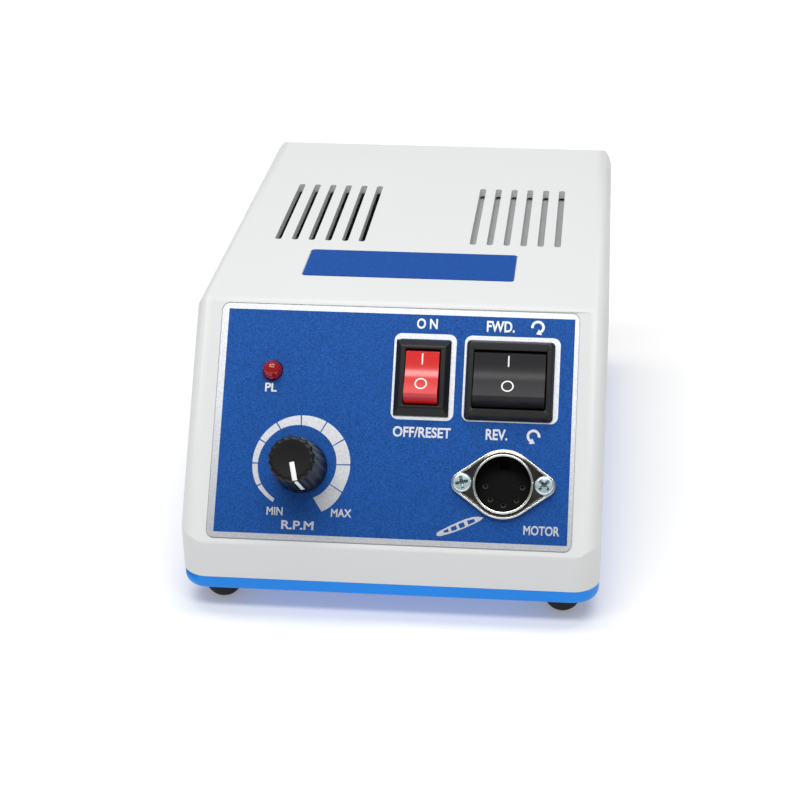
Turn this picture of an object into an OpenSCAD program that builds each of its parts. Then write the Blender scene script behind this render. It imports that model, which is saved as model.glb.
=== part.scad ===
// Control unit of a bench micromotor: a sloped-front plastic case with its controls,
// motor socket, power supply and rear fittings. Millimetres.
// X runs to the right, Y to the rear, Z up. The feet stand on Z = 0.

/* [Case] */
// Width of the case
case_w = 114; // [104:1:140]
// Depth of the case from the front skirt to the rear wall
case_d = 170; // [160:1:210]
// Height of the upright skirt under the front panel
skirt_h = 10.5; // [6:0.5:20]
// Visible height of the base rim
base_h = 3.75; // [3:0.25:8]
// Length of the sloped front panel
panel_len = 68; // [66:0.5:80]
// Tilt of the front panel from upright
panel_tilt = 36; // [28:1:42]
// Rise of the top towards the rear in degrees
top_rise = 2; // [0:0.5:5]
// Wall of the cover
wall = 2.5; // [1.5:0.1:3.5]
// Radius of the upright corners in plan
corner_r = 7.5; // [5:0.5:12]
// Radius of the long top edges
edge_r = 5; // [3.5:0.5:7]
// Radius where the panel meets the top
brow_r = 3; // [1:0.5:3]
// Radius where the panel meets the skirt
crease_r = 1.5; // [0.5:0.5:3]
// Thickness of the base floor
floor_t = 2.2; // [1.6:0.1:3]
// Radius of the lower edge of the base
base_edge_r = 1.2; // [0.4:0.1:2]

/* [Feet and case screws] */
// Height of a rubber foot under the base
foot_h = 7; // [4:0.5:12]
// Diameter of a rubber foot
foot_d = 10.4; // [8:0.2:13]
// Diameter of the flat that a foot stands on
foot_flat_d = 5; // [3:0.5:7]
// Diameter of the foot's stem in the base
foot_stem_d = 5; // [3:0.5:6]
// Distance of the feet from the sides and ends of the case
foot_inset = 10; // [9:0.5:14]
// Distance of the case screws from the ends of the case
screw_inset = 26; // [22:1:32]
// Thread diameter of the case screws
case_screw_d = 3; // [2.5:0.1:4]
// Height of the screw bosses inside the cover
boss_h = 20; // [12:1:26]

/* [Labels] */
// Width of the front label
label_w = 98; // [90:1:100]
// Length of the front label up the panel
label_l = 64.6; // [62:0.2:65]
// Distance of the front label from the crease
label_v = 1.7; // [1.5:0.1:3]
// Corner radius of the labels
label_r = 2; // [0.5:0.1:3]
// Thickness of the labels
label_t = 0.5; // [0.3:0.05:0.8]
// Depth of the recess that holds a label
label_sink = 0.4; // [0.2:0.05:0.8]
// Width of the top label
top_label_w = 60; // [40:1:80]
// Length of the top label
top_label_l = 18.3; // [10:0.1:22]
// Distance of the top label from the brow edge
top_label_s = 16.2; // [8:0.1:18]

/* [Vents] */
// Slots in each group
slot_count = 6; // [3:1:7]
// Distance between slots
slot_pitch = 5; // [4:0.1:5.5]
// Width of a slot
slot_w = 1.9; // [1.2:0.1:2.6]
// Length of a slot
slot_l = 45.3; // [30:0.1:60]
// Distance of the slots from the brow edge
slot_s = 41.6; // [38:0.1:50]
// Distance of the innermost slot from the middle
slot_u = 16.5; // [10:0.5:18]

/* [Switches] */
// Place of the power switch across the panel
power_u = 7.1; // [5:0.1:8]
// Place of the direction switch across the panel
direction_u = 30.8; // [30:0.1:33]
// Place of both switches up the panel
switch_v = 47.1; // [45:0.1:50]
// Width of the power switch bezel
power_w = 15; // [13:0.1:16]
// Width of the direction switch bezel
direction_w = 24; // [20:0.1:26]
// Length of the power switch bezel
switch_l = 21; // [20.5:0.1:24]
// Length of the direction switch bezel
direction_l = 22; // [20.5:0.1:24]
// Height of the bezels over the label
bezel_h = 2; // [1.2:0.1:3]
// Slope of the bezel sides, measured inwards
bezel_slope = 0.9; // [0.3:0.1:1.2]
// Side rim of the power bezel
power_rim = 2.7; // [2.3:0.1:3.5]
// Side rim of the direction bezel
direction_rim = 2.1; // [2:0.1:3]
// Depth of the switch bodies behind the label
switch_depth = 14; // [12:0.5:18]
// Radius of the power rocker round its pivot
power_rocker_r = 7.5; // [6.5:0.1:8]
// Radius of the direction rocker round its pivot
direction_rocker_r = 7.8; // [6.5:0.1:8.4]
// Depth of the pivots under the top of the bezel
pivot_drop = 2.5; // [1.5:0.1:3.5]
// Swing of a rocker between its two positions
rocker_swing = 22; // [12:1:26]
// Diameter of the rocker pivots
pivot_d = 2; // [1.2:0.1:2.4]

/* [Pilot lamp] */
// Place of the lamp across the panel
lamp_u = -34; // [-40:0.5:-28]
// Place of the lamp up the panel
lamp_v = 47.8; // [44:0.1:54]
// Diameter of the lamp lens
lamp_d = 5.2; // [3:0.1:6]
// Height of the lens over the label
lamp_h = 3.4; // [3.2:0.1:6]

/* [Speed control] */
// Place of the knob across the panel
knob_u = -24.5; // [-30:0.1:-20]
// Place of the knob up the panel
knob_v = 21.6; // [20:0.1:26]
// Diameter of the knob at the panel
knob_d = 14.4; // [14:0.1:20]
// Diameter of the knob at its top
knob_top_d = 12.4; // [11:0.1:19]
// Height of the knob
knob_h = 16; // [11:0.1:18]
// Flutes round the knob
flute_count = 18; // [12:1:24]
// Depth of a flute
flute_depth = 0.35; // [0.2:0.05:0.5]
// Clock angle of the pointer at rest
pointer_clock = 166.5; // [0:0.5:360]
// Width of the pointer
pointer_w = 1.3; // [0.6:0.1:2]
// Diameter of the control shaft
shaft_d = 6; // [4:0.05:6.5]
// Diameter of the threaded control bush
bush_d = 7.6; // [7.4:0.1:9]
// Diameter of the control's can
can_d = 16.5; // [14:0.5:20]
// Depth of the control's can
can_l = 9; // [7:0.5:14]

/* [Motor socket] */
// Place of the socket across the panel
socket_u = 30.3; // [28:0.1:32]
// Place of the socket up the panel
socket_v = 18.9; // [17:0.1:22]
// Bore of the socket collar
socket_bore_d = 14.8; // [13:0.1:15.4]
// Wall of the socket collar
collar_wall = 0.7; // [0.5:0.05:1]
// Depth of the socket to the face of its insert
socket_depth = 6; // [4:0.5:8]
// Height of the collar over the label
collar_h = 2.2; // [1.4:0.1:3.5]
// Distance between the socket screws
socket_pitch = 22; // [21.5:0.1:25]
// Radius of the flange round the collar
flange_r = 9.4; // [9:0.1:11]
// Radius of the flange round each screw
ear_r = 3; // [2.8:0.1:3.6]
// Thickness of the flange
flange_t = 1; // [0.6:0.1:1.5]
// Diameter of the socket screws
socket_screw_d = 2.9; // [2:0.1:3]
// Contacts in the socket
contact_count = 5; // [3:1:5]
// Radius of the contact circle
contact_r = 5; // [3.5:0.1:5.2]

/* [Rear fittings] */
// Place of the cord bush across the rear
cord_x = -34; // [-38:1:-20]
// Height of the cord bush
cord_z = 30; // [26:1:40]
// Bore of the cord bush
cord_bore_d = 7; // [5:0.1:8]
// Diameter of the cord bush in the wall
cord_bush_d = 12.4; // [11:0.1:14]
// Place of the fuse holder across the rear
fuse_x = 16; // [14:1:20]
// Height of the fuse holder
fuse_z = 32; // [28:1:44]
// Diameter of the fuse holder in the wall
fuse_body_d = 12; // [11.5:0.1:14]
// Length of the fuse
fuse_l = 20; // [15:1:24]
// Diameter of the fuse
fuse_d = 5.2; // [4:0.1:6]
// Height of the fuse cap over its flange
fuse_cap_h = 7; // [4:0.5:10]
// Place of the foot control jack across the rear
jack_x = 40; // [34:1:41]
// Height of the foot control jack
jack_z = 32; // [26:1:40]
// Bore of the jack
jack_bore_d = 6.4; // [3.5:0.1:6.6]
// Length of the jack's bore
jack_bore_l = 24; // [18:0.5:30]
// Place of the hand and foot switch across the rear
mode_x = 36; // [32:1:38]
// Height of the hand and foot switch
mode_z = 56; // [52:1:60]
// Travel of its slider
mode_travel = 4; // [2:0.5:5]
// Width of the bare rating plate
plate_w = 50; // [30:1:60]
// Height of the bare rating plate
plate_h = 20; // [12:1:26]

/* [Transformer] */
// Gap between the transformer bracket and the lip of the base
trans_side = 0.7; // [0.5:0.1:4]
// Gap between the winding and the fuse holder
trans_gap = 1.5; // [1:0.5:8]
// Width of the core
core_w = 57; // [48:1:60]
// Height of the core
core_h = 47.5; // [40:0.5:54]
// Depth of the core stack
core_t = 25; // [18:1:30]
// Width of the core's centre leg
leg_w = 19; // [14:1:22]
// Reach of the winding beyond the core stack
coil_out = 9.5; // [6:0.5:11]
// Thickness of the transformer bracket
strap_t = 1; // [0.8:0.1:1.5]

/* [Control board] */
// Width of the board
board_w = 84; // [76:1:90]
// Depth of the board
board_d = 40; // [38:1:42]
// Thickness of the board
board_t = 1.6; // [1:0.1:2]
// Distance of the board from the front skirt
board_y = 39; // [39:1:44]
// Height of the board spacers
spacer_h = 6; // [4:0.5:8]
// Diameter of the filter capacitors
cap_d = 14; // [10:0.5:15]
// Height of the filter capacitors
cap_h = 24; // [16:1:26]
// Width of the heat sink
sink_w = 34; // [30:1:36]
// Thickness of the heat sink
sink_t = 2; // [1:0.1:3]
// Gap between the heat sink and the top of the cover
sink_gap = 0.8; // [0.6:0.1:6]
// Length of the heat sink's top plate
sink_l = 49; // [40:1:56]

/* [Fits] */
// Radial clearance of a turning shaft
run_gap = 0.05; // [0.02:0.01:0.09]
// Clearance round a body in its opening
slip_gap = 0.25; // [0.1:0.05:0.4]
// Clearance of a moving piece that must not rub
free_gap = 0.35; // [0.2:0.05:0.5]

/* [Hidden] */
$fn = 48;
// Overshoot of a cutting shape past the face it cuts
cut = 1;

// Levels of the case
base_z = foot_h;
floor_z = base_z + floor_t;
cover_z = base_z + base_h;
crease_z = cover_z + skirt_h;
label_top = label_t - label_sink;
lip_gap = 0.2;
lip_t = 1.6;
lip_top = cover_z + 3;
boss_z = lip_top + 1;
boss_r = 3.6;

// Directions of the panel and of the top in the Y-Z plane
panel_dir = [sin(panel_tilt), cos(panel_tilt)];
top_dir = [cos(top_rise), sin(top_rise)];
brow = [0, crease_z] + panel_len * panel_dir;
function left_of(d) = [-d[1], d[0]];
function cross2(a, b) = a[0] * b[1] - a[1] * b[0];
function unit(a) = a / norm(a);
// Point where the line through p along d meets the line through q along e
function meet(p, d, q, e) = p + d * cross2(q - p, e) / cross2(d, e);
function panel_y(v, h) = v * sin(panel_tilt) - h * cos(panel_tilt);
function top_at(y) = brow[1] + (y - brow[0]) * tan(top_rise);
// Corners of the case's side view, drawn in by i, down to the level low
function side_view(i, low) = let (
    skirt = [i, low],
    panel = [0, crease_z] - i * left_of(panel_dir),
    top = brow - i * left_of(top_dir),
    rear = [case_d - i, low])
    [skirt, meet(skirt, [0, 1], panel, panel_dir), meet(panel, panel_dir, top, top_dir),
     meet(top, top_dir, rear, [0, 1]), rear];

// Knob, control and pointer
knob_gap = 0.4;
knob_base = label_top + knob_gap;
knob_edge = 0.8;
nut_h = 2.2;
washer_t = 0.6;
washer_d = bush_d + 3.6;
nut_af = bush_d + 2.4;
nut_top = label_top + washer_t + nut_h;
bush_top = nut_top + 0.8;
knob_hollow_d = nut_af / cos(30) + 0.5;
knob_hollow_top = bush_top + 0.6;
shaft_top = knob_base + knob_h - 1.5;
pointer_t = 0.35;
can_wall = 1;
wiper_t = 1;

// Socket
insert_step = 0.5;
insert_t = 5;
collar_top = label_top + collar_h;
insert_face = collar_top - socket_depth;
shell_r = socket_bore_d / 2 + collar_wall;
contact_d = 1.5;
contact_tail = 5;
socket_nut_h = 2.4;
screw_head_r = 2.6;
screw_head_h = 1.6;

// Switches
pin_l = 0.7;
body_inset = 1.1;
rocker_floor = 3.5;
power_valley = 3.2;
direction_valley = 3.5;
tab_l = 7;
tab_w = 4.4;
tab_t = 0.8;

// Rear
cord_flange_t = 3;
fuse_flange_t = 2.2;
fuse_plug_l = 9;
fuse_cap_d = fuse_body_d + 1.4;
fuse_plug_d = fuse_body_d - 3.2;
fuse_bore_d = fuse_d + 1.2;
fuse_tail = 2.5;
jack_bush_d = jack_bore_d + 2.8;
jack_nut_h = 2.4;
jack_end_t = 2;
jack_body_d = jack_bore_d + 8;
jack_out = jack_nut_h + 1.2;
mode_plate = [23, 8];
mode_pitch = 17;
mode_knob = [3.6, 3.6];
mode_out = 1.4;
mode_plate_t = 0.8;
mode_box = [13, 7, 6];
plate_t = 0.4;
rear_out = max(cord_flange_t, fuse_flange_t + free_gap + fuse_cap_h, jack_out, mode_out);
knob_front = min(0, panel_y(knob_v - knob_top_d / 2 + knob_edge, knob_base + knob_h));
mid_y = (knob_front + case_d + rear_out) / 2;

// Transformer and board
strap_w = 18;
strap_foot = 9;
base_inner = case_w / 2 - wall - lip_gap - lip_t;
fuse_in = fuse_plug_l - fuse_flange_t + fuse_l + fuse_tail;
coil_d = core_t + 2 * coil_out;
trans_x = trans_side - base_inner + core_w / 2 + strap_t / 2 + strap_foot;
trans_y = case_d - fuse_in - trans_gap - coil_d / 2;
window_w = (core_w - 2 * leg_w) / 2;
yoke_h = leg_w / 2;
screw_head = [2.7, 1.8];
board_z = floor_z + spacer_h;
board_top = board_z + board_t;
board_hole_inset = 4;
board_screw_d = 2.9;
sink_y = board_y + board_d + 1.5;
sink_x = slot_u + (slot_count - 1) * slot_pitch / 2;
sink_top = top_at(sink_y) - wall / cos(top_rise) - sink_gap;
sink_foot = 14;

// Placing of pieces: in the whole frame, on the panel, on the top and on the rear wall
module in_case() { translate([0, -mid_y, 0]) children(); }
module on_panel(u, v, h = 0) {
    translate([u, 0, crease_z]) rotate([90 - panel_tilt, 0, 0]) translate([0, v, h]) children();
}
module on_top(u, s, h = 0) {
    translate([u, brow[0], brow[1]]) rotate([top_rise, 0, 0]) translate([0, s, h]) children();
}
module on_rear(x, z) { translate([x, case_d, z]) rotate([90, 0, 180]) children(); }
module at_corners(x, y) {
    for (sx = [-1, 1], sy = [-1, 1]) translate([sx * x, case_d / 2 + sy * y, 0]) children();
}

// Flat shapes
module rounded_rect(w, l, r) {
    square([w - 2 * r, l], center = true);
    square([w, l - 2 * r], center = true);
    for (sx = [-1, 1], sy = [-1, 1]) translate([sx * (w / 2 - r), sy * (l / 2 - r)]) circle(r);
}
module corner_waste(a, p, b, r) {
    da = unit(a - p);
    db = unit(b - p);
    half = acos(da * db) / 2;
    bisector = unit(da + db);
    difference() {
        polygon([p - bisector, p + da * r / tan(half), p + db * r / tan(half)]);
        translate(p + bisector * r / sin(half)) circle(r);
    }
}
module rounded_outline(points, radii) {
    n = len(points);
    difference() {
        polygon(points);
        for (k = [0:n - 1]) if (radii[k] > 0)
            corner_waste(points[(k + n - 1) % n], points[k], points[(k + 1) % n], radii[k]);
    }
}
// Outline of a round middle with an ear on each side, the ears joined by straight tangents
module lozenge(r, ear, pitch) {
    half = acos((r - ear) / (pitch / 2));
    steps = 12;
    polygon([for (side = [0, 1]) each concat(
        [for (k = [0:steps]) let (a = 180 * side + half + k * (180 - 2 * half) / steps) r * [cos(a), sin(a)]],
        [for (k = [0:steps]) let (a = 180 * (side + 1) - half + k * 2 * half / steps)
            [(2 * side - 1) * pitch / 2, 0] + ear * [cos(a), sin(a)]])]);
}

// Solid shapes
module tube(r_out, r_in, h) {
    difference() {
        cylinder(r = r_out, h = h);
        translate([0, 0, -cut]) cylinder(r = r_in, h = h + 2 * cut);
    }
}
module hex_nut(af, bore, h) {
    difference() {
        cylinder(r = af / 2 / cos(30), h = h, $fn = 6);
        translate([0, 0, -cut]) cylinder(r = bore, h = h + 2 * cut);
    }
}
// Pan head at the origin with its shank below; the recess is a cross
module pan_screw(head_r, head_h, shank_r, shank_l, rim = 0.5) {
    difference() {
        union() {
            cylinder(r = head_r, h = head_h - rim);
            translate([0, 0, head_h - rim]) cylinder(r1 = head_r, r2 = head_r - rim, h = rim);
            translate([0, 0, -shank_l]) cylinder(r = shank_r, h = shank_l);
        }
        for (a = [0, 90]) rotate([0, 0, a])
            translate([-head_r * 0.6, -head_r * 0.14, head_h * 0.45])
                cube([head_r * 1.2, head_r * 0.28, head_h]);
    }
}
// The case's outer form drawn in by i and open below the level low
module case_form(i, low) {
    reach = case_d + panel_len;
    intersection() {
        translate([0, case_d / 2, low]) linear_extrude(reach)
            rounded_rect(case_w - 2 * i, case_d - 2 * i, corner_r - i);
        intersection() {
            on_top(0, reach, -i - reach / 2) rotate([90, 0, 0]) linear_extrude(2 * reach)
                rounded_rect(case_w - 2 * i, reach, edge_r - i);
            on_panel(0, reach, -i - reach / 2) rotate([90, 0, 0]) linear_extrude(2 * reach)
                rounded_rect(case_w - 2 * i, reach, edge_r - i);
        }
        translate([-case_w, 0, 0]) rotate([90, 0, 90]) linear_extrude(2 * case_w)
            rounded_outline(side_view(i, low - cut),
                [0, max(crease_r - i, 0), max(brow_r - i, 0), max(edge_r - i, 0), 0]);
    }
}
module through_rear(x, z) {
    on_rear(x, z) translate([0, 0, -wall - cut]) linear_extrude(wall + 2 * cut) children();
}

// Case
screw_x = case_w / 2 - wall - boss_r - 1.2;
screw_y = case_d / 2 - screw_inset;
foot_x = case_w / 2 - foot_inset;
foot_y = case_d / 2 - foot_inset;
screw_hole = case_screw_d / 2;
module cover_bosses() {
    at_corners(screw_x, screw_y) translate([0, 0, boss_z]) cylinder(r = boss_r, h = boss_h);
    for (s = [-1, 1], e = [-1, 1])
        translate([s * (screw_x + (case_w / 2 - wall / 2 - screw_x) / 2), case_d / 2 + e * screw_y,
            boss_z + boss_h / 2])
            cube([case_w / 2 - wall / 2 - screw_x, wall, boss_h], center = true);
}
module body_opening(w) {
    square([w, switch_l] - 2 * (body_inset - slip_gap) * [1, 1], center = true);
}
module panel_cuts() {
    translate([power_u, switch_v]) body_opening(power_w);
    translate([direction_u, switch_v]) body_opening(direction_w);
    translate([lamp_u, lamp_v]) circle(lamp_d / 2 + slip_gap);
    translate([knob_u, knob_v]) circle(bush_d / 2 + slip_gap);
    translate([socket_u, socket_v]) circle(shell_r + slip_gap);
    for (s = [-1, 1]) translate([socket_u + s * socket_pitch / 2, socket_v])
        circle(socket_screw_d / 2 + slip_gap);
}
module rear_openings() {
    through_rear(cord_x, cord_z) circle(cord_bush_d / 2 + slip_gap);
    through_rear(fuse_x, fuse_z) circle(fuse_body_d / 2 + slip_gap);
    through_rear(jack_x, jack_z) circle(jack_bush_d / 2 + slip_gap);
    through_rear(mode_x, mode_z) mode_slot();
    for (s = [-1, 1]) through_rear(mode_x + s * mode_pitch / 2, mode_z) circle(1 + slip_gap);
}
module mode_slot() {
    square(mode_knob + [mode_travel, 0] + 2 * free_gap * [1, 1], center = true);
}
module vent_slots() {
    for (s = [-1, 1], k = [0:slot_count - 1])
        on_top(s * (slot_u + k * slot_pitch), slot_s + slot_l / 2, -2 * wall)
            linear_extrude(3 * wall) rounded_rect(slot_w, slot_l, slot_w / 2 - 0.01);
}
module top_cover() color("whitesmoke") in_case() difference() {
    union() {
        difference() {
            case_form(0, cover_z);
            case_form(wall, cover_z - cut);
        }
        cover_bosses();
    }
    on_panel(0, label_v + label_l / 2, -label_sink) linear_extrude(label_sink + cut)
        rounded_rect(label_w + 2 * slip_gap, label_l + 2 * slip_gap, label_r + slip_gap);
    on_top(0, top_label_s + top_label_l / 2, -label_sink) linear_extrude(label_sink + cut)
        rounded_rect(top_label_w + 2 * slip_gap, top_label_l + 2 * slip_gap, label_r / 2 + slip_gap);
    on_panel(0, 0, -wall - cut) linear_extrude(wall + 2 * cut) panel_cuts();
    rear_openings();
    vent_slots();
    at_corners(screw_x, screw_y) translate([0, 0, boss_z - cut]) cylinder(r = screw_hole, h = boss_h);
}

base_inset = 0.3;
module base_outline(i) {
    translate([0, case_d / 2]) rounded_rect(case_w - 2 * i, case_d - 2 * i, corner_r - i);
}
// Hole up through the floor from below, to a height over the underside of the base
module floor_hole(r, h) { translate([0, 0, base_z - cut]) cylinder(r = r, h = h + cut); }
module base_tray() color("dodgerblue") in_case() difference() {
    union() {
        translate([0, 0, base_z + base_edge_r]) linear_extrude(base_h - base_edge_r) base_outline(base_inset);
        translate([0, 0, base_z + base_edge_r / 3]) linear_extrude(base_edge_r)
            base_outline(base_inset + base_edge_r / 3);
        translate([0, 0, base_z]) linear_extrude(base_edge_r) base_outline(base_inset + base_edge_r);
        translate([0, 0, base_z + floor_t / 2]) linear_extrude(lip_top - base_z - floor_t / 2)
            base_outline(wall + lip_gap);
        at_corners(screw_x, screw_y) translate([0, 0, base_z + floor_t / 2])
            cylinder(r = boss_r, h = boss_z - base_z - floor_t / 2);
    }
    difference() {
        translate([0, 0, floor_z]) linear_extrude(lip_top) base_outline(wall + lip_gap + lip_t);
        at_corners(screw_x, screw_y) translate([0, 0, floor_z - cut])
            cylinder(r = boss_r, h = boss_z - floor_z + cut);
    }
    at_corners(screw_x, screw_y) floor_hole(screw_hole + slip_gap, boss_z);
    at_corners(screw_x, screw_y) floor_hole(screw_head_r + slip_gap, floor_t);
    at_corners(foot_x, foot_y) floor_hole(foot_stem_d / 2, floor_t + cut);
    for (p = floor_holes) translate([p[0], p[1], 0]) floor_hole(board_screw_d / 2, floor_t + cut);
}
// A foot is a dome cut flat below, with a stem and a bead that hold it in the floor
foot_bead = [0.6, 1.2];
module rubber_feet() color([0.09, 0.09, 0.1]) in_case() at_corners(foot_x, foot_y) rotate_extrude() {
    dome_z = sqrt(pow(foot_d, 2) - pow(foot_flat_d, 2)) / 2;
    intersection() {
        union() {
            translate([0, dome_z]) circle(foot_d / 2);
            translate([0, dome_z]) square([foot_d / 2, foot_h]);
        }
        square([foot_d, foot_h]);
    }
    translate([0, foot_h - foot_stem_d / 2]) square([foot_stem_d / 2, floor_t + foot_stem_d / 2]);
    translate([0, foot_h + floor_t]) square([foot_stem_d / 2 + foot_bead[0], foot_bead[1]]);
}
module case_screws() color("silver") in_case() at_corners(screw_x, screw_y)
    translate([0, 0, floor_z]) rotate([180, 0, 0])
        pan_screw(screw_head_r, screw_head_h, screw_hole - run_gap, boss_z - floor_z + boss_h / 2);

// Labels
module front_label() color("royalblue") in_case() on_panel(0, label_v + label_l / 2, -label_sink)
    linear_extrude(label_t) difference() {
        rounded_rect(label_w, label_l, label_r);
        translate([0, -label_v - label_l / 2]) panel_cuts();
    }
module top_label() color("royalblue") in_case() on_top(0, top_label_s + top_label_l / 2, -label_sink)
    linear_extrude(label_t) rounded_rect(top_label_w, top_label_l, label_r / 2);
plate_x = cord_x + plate_w / 2 - 14;
plate_z = cord_z + cord_bush_d / 2 + 4 + plate_h / 2;
module rating_plate() color("lightgray") in_case() on_rear(plate_x, plate_z)
    linear_extrude(plate_t) rounded_rect(plate_w, plate_h, label_r / 2);

// Rocker switches, drawn with the label's face at zero
module bezel_side(span) {
    polygon([[-span / 2, 0], [span / 2, 0], [span / 2, bezel_h / 4], [span / 2 - bezel_slope, bezel_h],
        [bezel_slope - span / 2, bezel_h], [-span / 2, bezel_h / 4]]);
}
module switch_body(w, l, rim, rocker_r) {
    well_w = w - 2 * rim;
    pivot = bezel_h - pivot_drop;
    difference() {
        union() {
            intersection() {
                translate([0, l / 2, 0]) rotate([90, 0, 0]) linear_extrude(l) bezel_side(w);
                translate([-w / 2, 0, 0]) rotate([90, 0, 90]) linear_extrude(w) bezel_side(l);
            }
            translate([0, 0, -switch_depth]) linear_extrude(switch_depth + bezel_h / 8)
                square([w - 2 * body_inset, switch_l - 2 * body_inset], center = true);
        }
        translate([0, 0, pivot - rocker_r + 1]) linear_extrude(rocker_r + bezel_h + pivot_drop)
            square([well_w, 2 * (rocker_r + slip_gap)], center = true);
        translate([-well_w / 2 - pin_l, 0, pivot]) rotate([0, 90, 0])
            cylinder(r = pivot_d / 2 + run_gap, h = well_w + 2 * pin_l);
    }
}
module rocker(w, rim, rocker_r, valley) {
    rocker_w = w - 2 * rim - 2 * slip_gap;
    lean = rocker_swing / 2;
    reach = 2 * rocker_r;
    translate([0, 0, bezel_h - pivot_drop]) {
        translate([-rocker_w / 2, 0, 0]) rotate([90, 0, 90]) linear_extrude(rocker_w) rotate(-lean)
            intersection() {
                circle(rocker_r, $fn = 96);
                polygon([[-reach, -rocker_floor], [reach, -rocker_floor],
                    [reach, valley + reach * tan(lean)], [0, valley],
                    [-reach, valley + reach * tan(lean)]]);
            }
        translate([-rocker_w / 2 - pin_l, 0, 0]) rotate([0, 90, 0])
            cylinder(r = pivot_d / 2, h = rocker_w + 2 * pin_l);
    }
}
module switch_tabs(columns, rows) {
    for (x = columns, y = rows) translate([x - tab_w / 2, y - tab_t / 2, -switch_depth - tab_l])
        cube([tab_w, tab_t, tab_l]);
}
module power_switch_body() color([0.1, 0.1, 0.1]) in_case() on_panel(power_u, switch_v, label_top)
    switch_body(power_w, switch_l, power_rim, power_rocker_r);
module power_rocker() color("red") in_case() on_panel(power_u, switch_v, label_top)
    rocker(power_w, power_rim, power_rocker_r, power_valley);
module power_switch_tabs() color("goldenrod") in_case() on_panel(power_u, switch_v, label_top)
    switch_tabs([0], [-switch_l / 4, switch_l / 4]);
module direction_switch_body() color([0.1, 0.1, 0.1]) in_case() on_panel(direction_u, switch_v, label_top)
    switch_body(direction_w, direction_l, direction_rim, direction_rocker_r);
module direction_rocker() color([0.14, 0.14, 0.15]) in_case() on_panel(direction_u, switch_v, label_top)
    rocker(direction_w, direction_rim, direction_rocker_r, direction_valley);
module direction_switch_tabs() color("goldenrod") in_case() on_panel(direction_u, switch_v, label_top)
    switch_tabs([-direction_w / 4, direction_w / 4], [-switch_l / 3, 0, switch_l / 3]);

// Pilot lamp
lamp_rim = 0.6;
lamp_rim_t = 1;
lamp_leads_l = 14;
lamp_back = wall - label_sink + label_t;
module pilot_lamp_lens() color([0.8, 0.1, 0.12]) in_case() on_panel(lamp_u, lamp_v, label_top) {
    translate([0, 0, -lamp_back]) cylinder(r = lamp_d / 2, h = lamp_back + lamp_h - lamp_d / 2);
    translate([0, 0, lamp_h - lamp_d / 2]) intersection() {
        sphere(lamp_d / 2);
        translate([0, 0, lamp_d / 2]) cube(lamp_d, center = true);
    }
    translate([0, 0, -lamp_back - lamp_rim_t]) cylinder(r = lamp_d / 2 + lamp_rim, h = lamp_rim_t);
}
module pilot_lamp_holder() color([0.12, 0.12, 0.12]) in_case() on_panel(lamp_u, lamp_v, label_top)
    translate([0, 0, -lamp_back - lamp_rim_t - 4]) difference() {
        cylinder(r = lamp_d / 2 + lamp_rim + 1.4, h = lamp_rim_t + 4);
        translate([0, 0, 4]) cylinder(r = lamp_d / 2 + lamp_rim + run_gap, h = lamp_rim_t + cut);
        for (s = [-1, 1]) translate([s * 1.27, 0, -cut]) cylinder(r = 0.35, h = 5 + cut);
    }
module pilot_lamp_leads() color("silver") in_case() on_panel(lamp_u, lamp_v, label_top) for (s = [-1, 1])
    translate([s * 1.27, 0, -lamp_back - lamp_rim_t - lamp_leads_l]) cylinder(r = 0.3, h = lamp_leads_l);

// Speed control
module at_control() { on_panel(knob_u, knob_v) children(); }
knob_taper = atan((knob_d - knob_top_d) / 2 / knob_h);
flute_r = 1.1;
module pointer_shape() {
    rotate([0, 0, 90 - pointer_clock]) {
        translate([knob_top_d * 0.1, -pointer_w / 2, knob_h - pointer_t])
            cube([knob_top_d * 0.4 - knob_edge, pointer_w, pointer_t]);
        translate([knob_d / 2 - flute_depth - pointer_t, -pointer_w / 2, 0]) rotate([0, -knob_taper, 0])
            translate([0, 0, knob_h * 0.2]) cube([pointer_t, pointer_w, knob_h * 0.72]);
    }
}
module speed_knob() color([0.1, 0.1, 0.1]) in_case() at_control() translate([0, 0, knob_base]) difference() {
    union() {
        cylinder(r1 = knob_d / 2, r2 = knob_top_d / 2 + (knob_d - knob_top_d) / 2 * knob_edge / knob_h,
            h = knob_h - knob_edge);
        translate([0, 0, knob_h - knob_edge])
            cylinder(r1 = knob_top_d / 2 + (knob_d - knob_top_d) / 2 * knob_edge / knob_h,
                r2 = knob_top_d / 2 - knob_edge, h = knob_edge);
    }
    for (k = [0:flute_count - 1]) rotate([0, 0, 90 - pointer_clock + k * 360 / flute_count])
        translate([knob_d / 2 + flute_r - flute_depth, 0, 0]) rotate([0, -knob_taper, 0])
            translate([0, 0, knob_h * 0.08]) cylinder(r = flute_r, h = 2 * knob_h, $fn = 24);
    translate([0, 0, -cut]) cylinder(r = knob_hollow_d / 2, h = knob_hollow_top - knob_base + cut);
    translate([0, 0, -cut]) cylinder(r = shaft_d / 2, h = shaft_top - knob_base + cut);
    pointer_shape();
}
module knob_pointer() color("white") in_case() at_control() translate([0, 0, knob_base]) pointer_shape();
module control_shaft() color("silver") in_case() at_control() translate([0, 0, -wall - can_l + can_wall + 1])
    cylinder(r = shaft_d / 2, h = wall + can_l - can_wall - 1 + shaft_top);
module control_wiper() color("goldenrod") in_case() at_control()
    translate([0, 0, -wall - can_l + can_wall + 2]) difference() {
        union() {
            cylinder(r = shaft_d / 2 + 1.2, h = wiper_t);
            translate([0, -0.8, 0]) cube([can_d / 2 - can_wall - 1, 1.6, wiper_t]);
        }
        translate([0, 0, -cut]) cylinder(r = shaft_d / 2, h = wiper_t + 2 * cut);
    }
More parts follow.
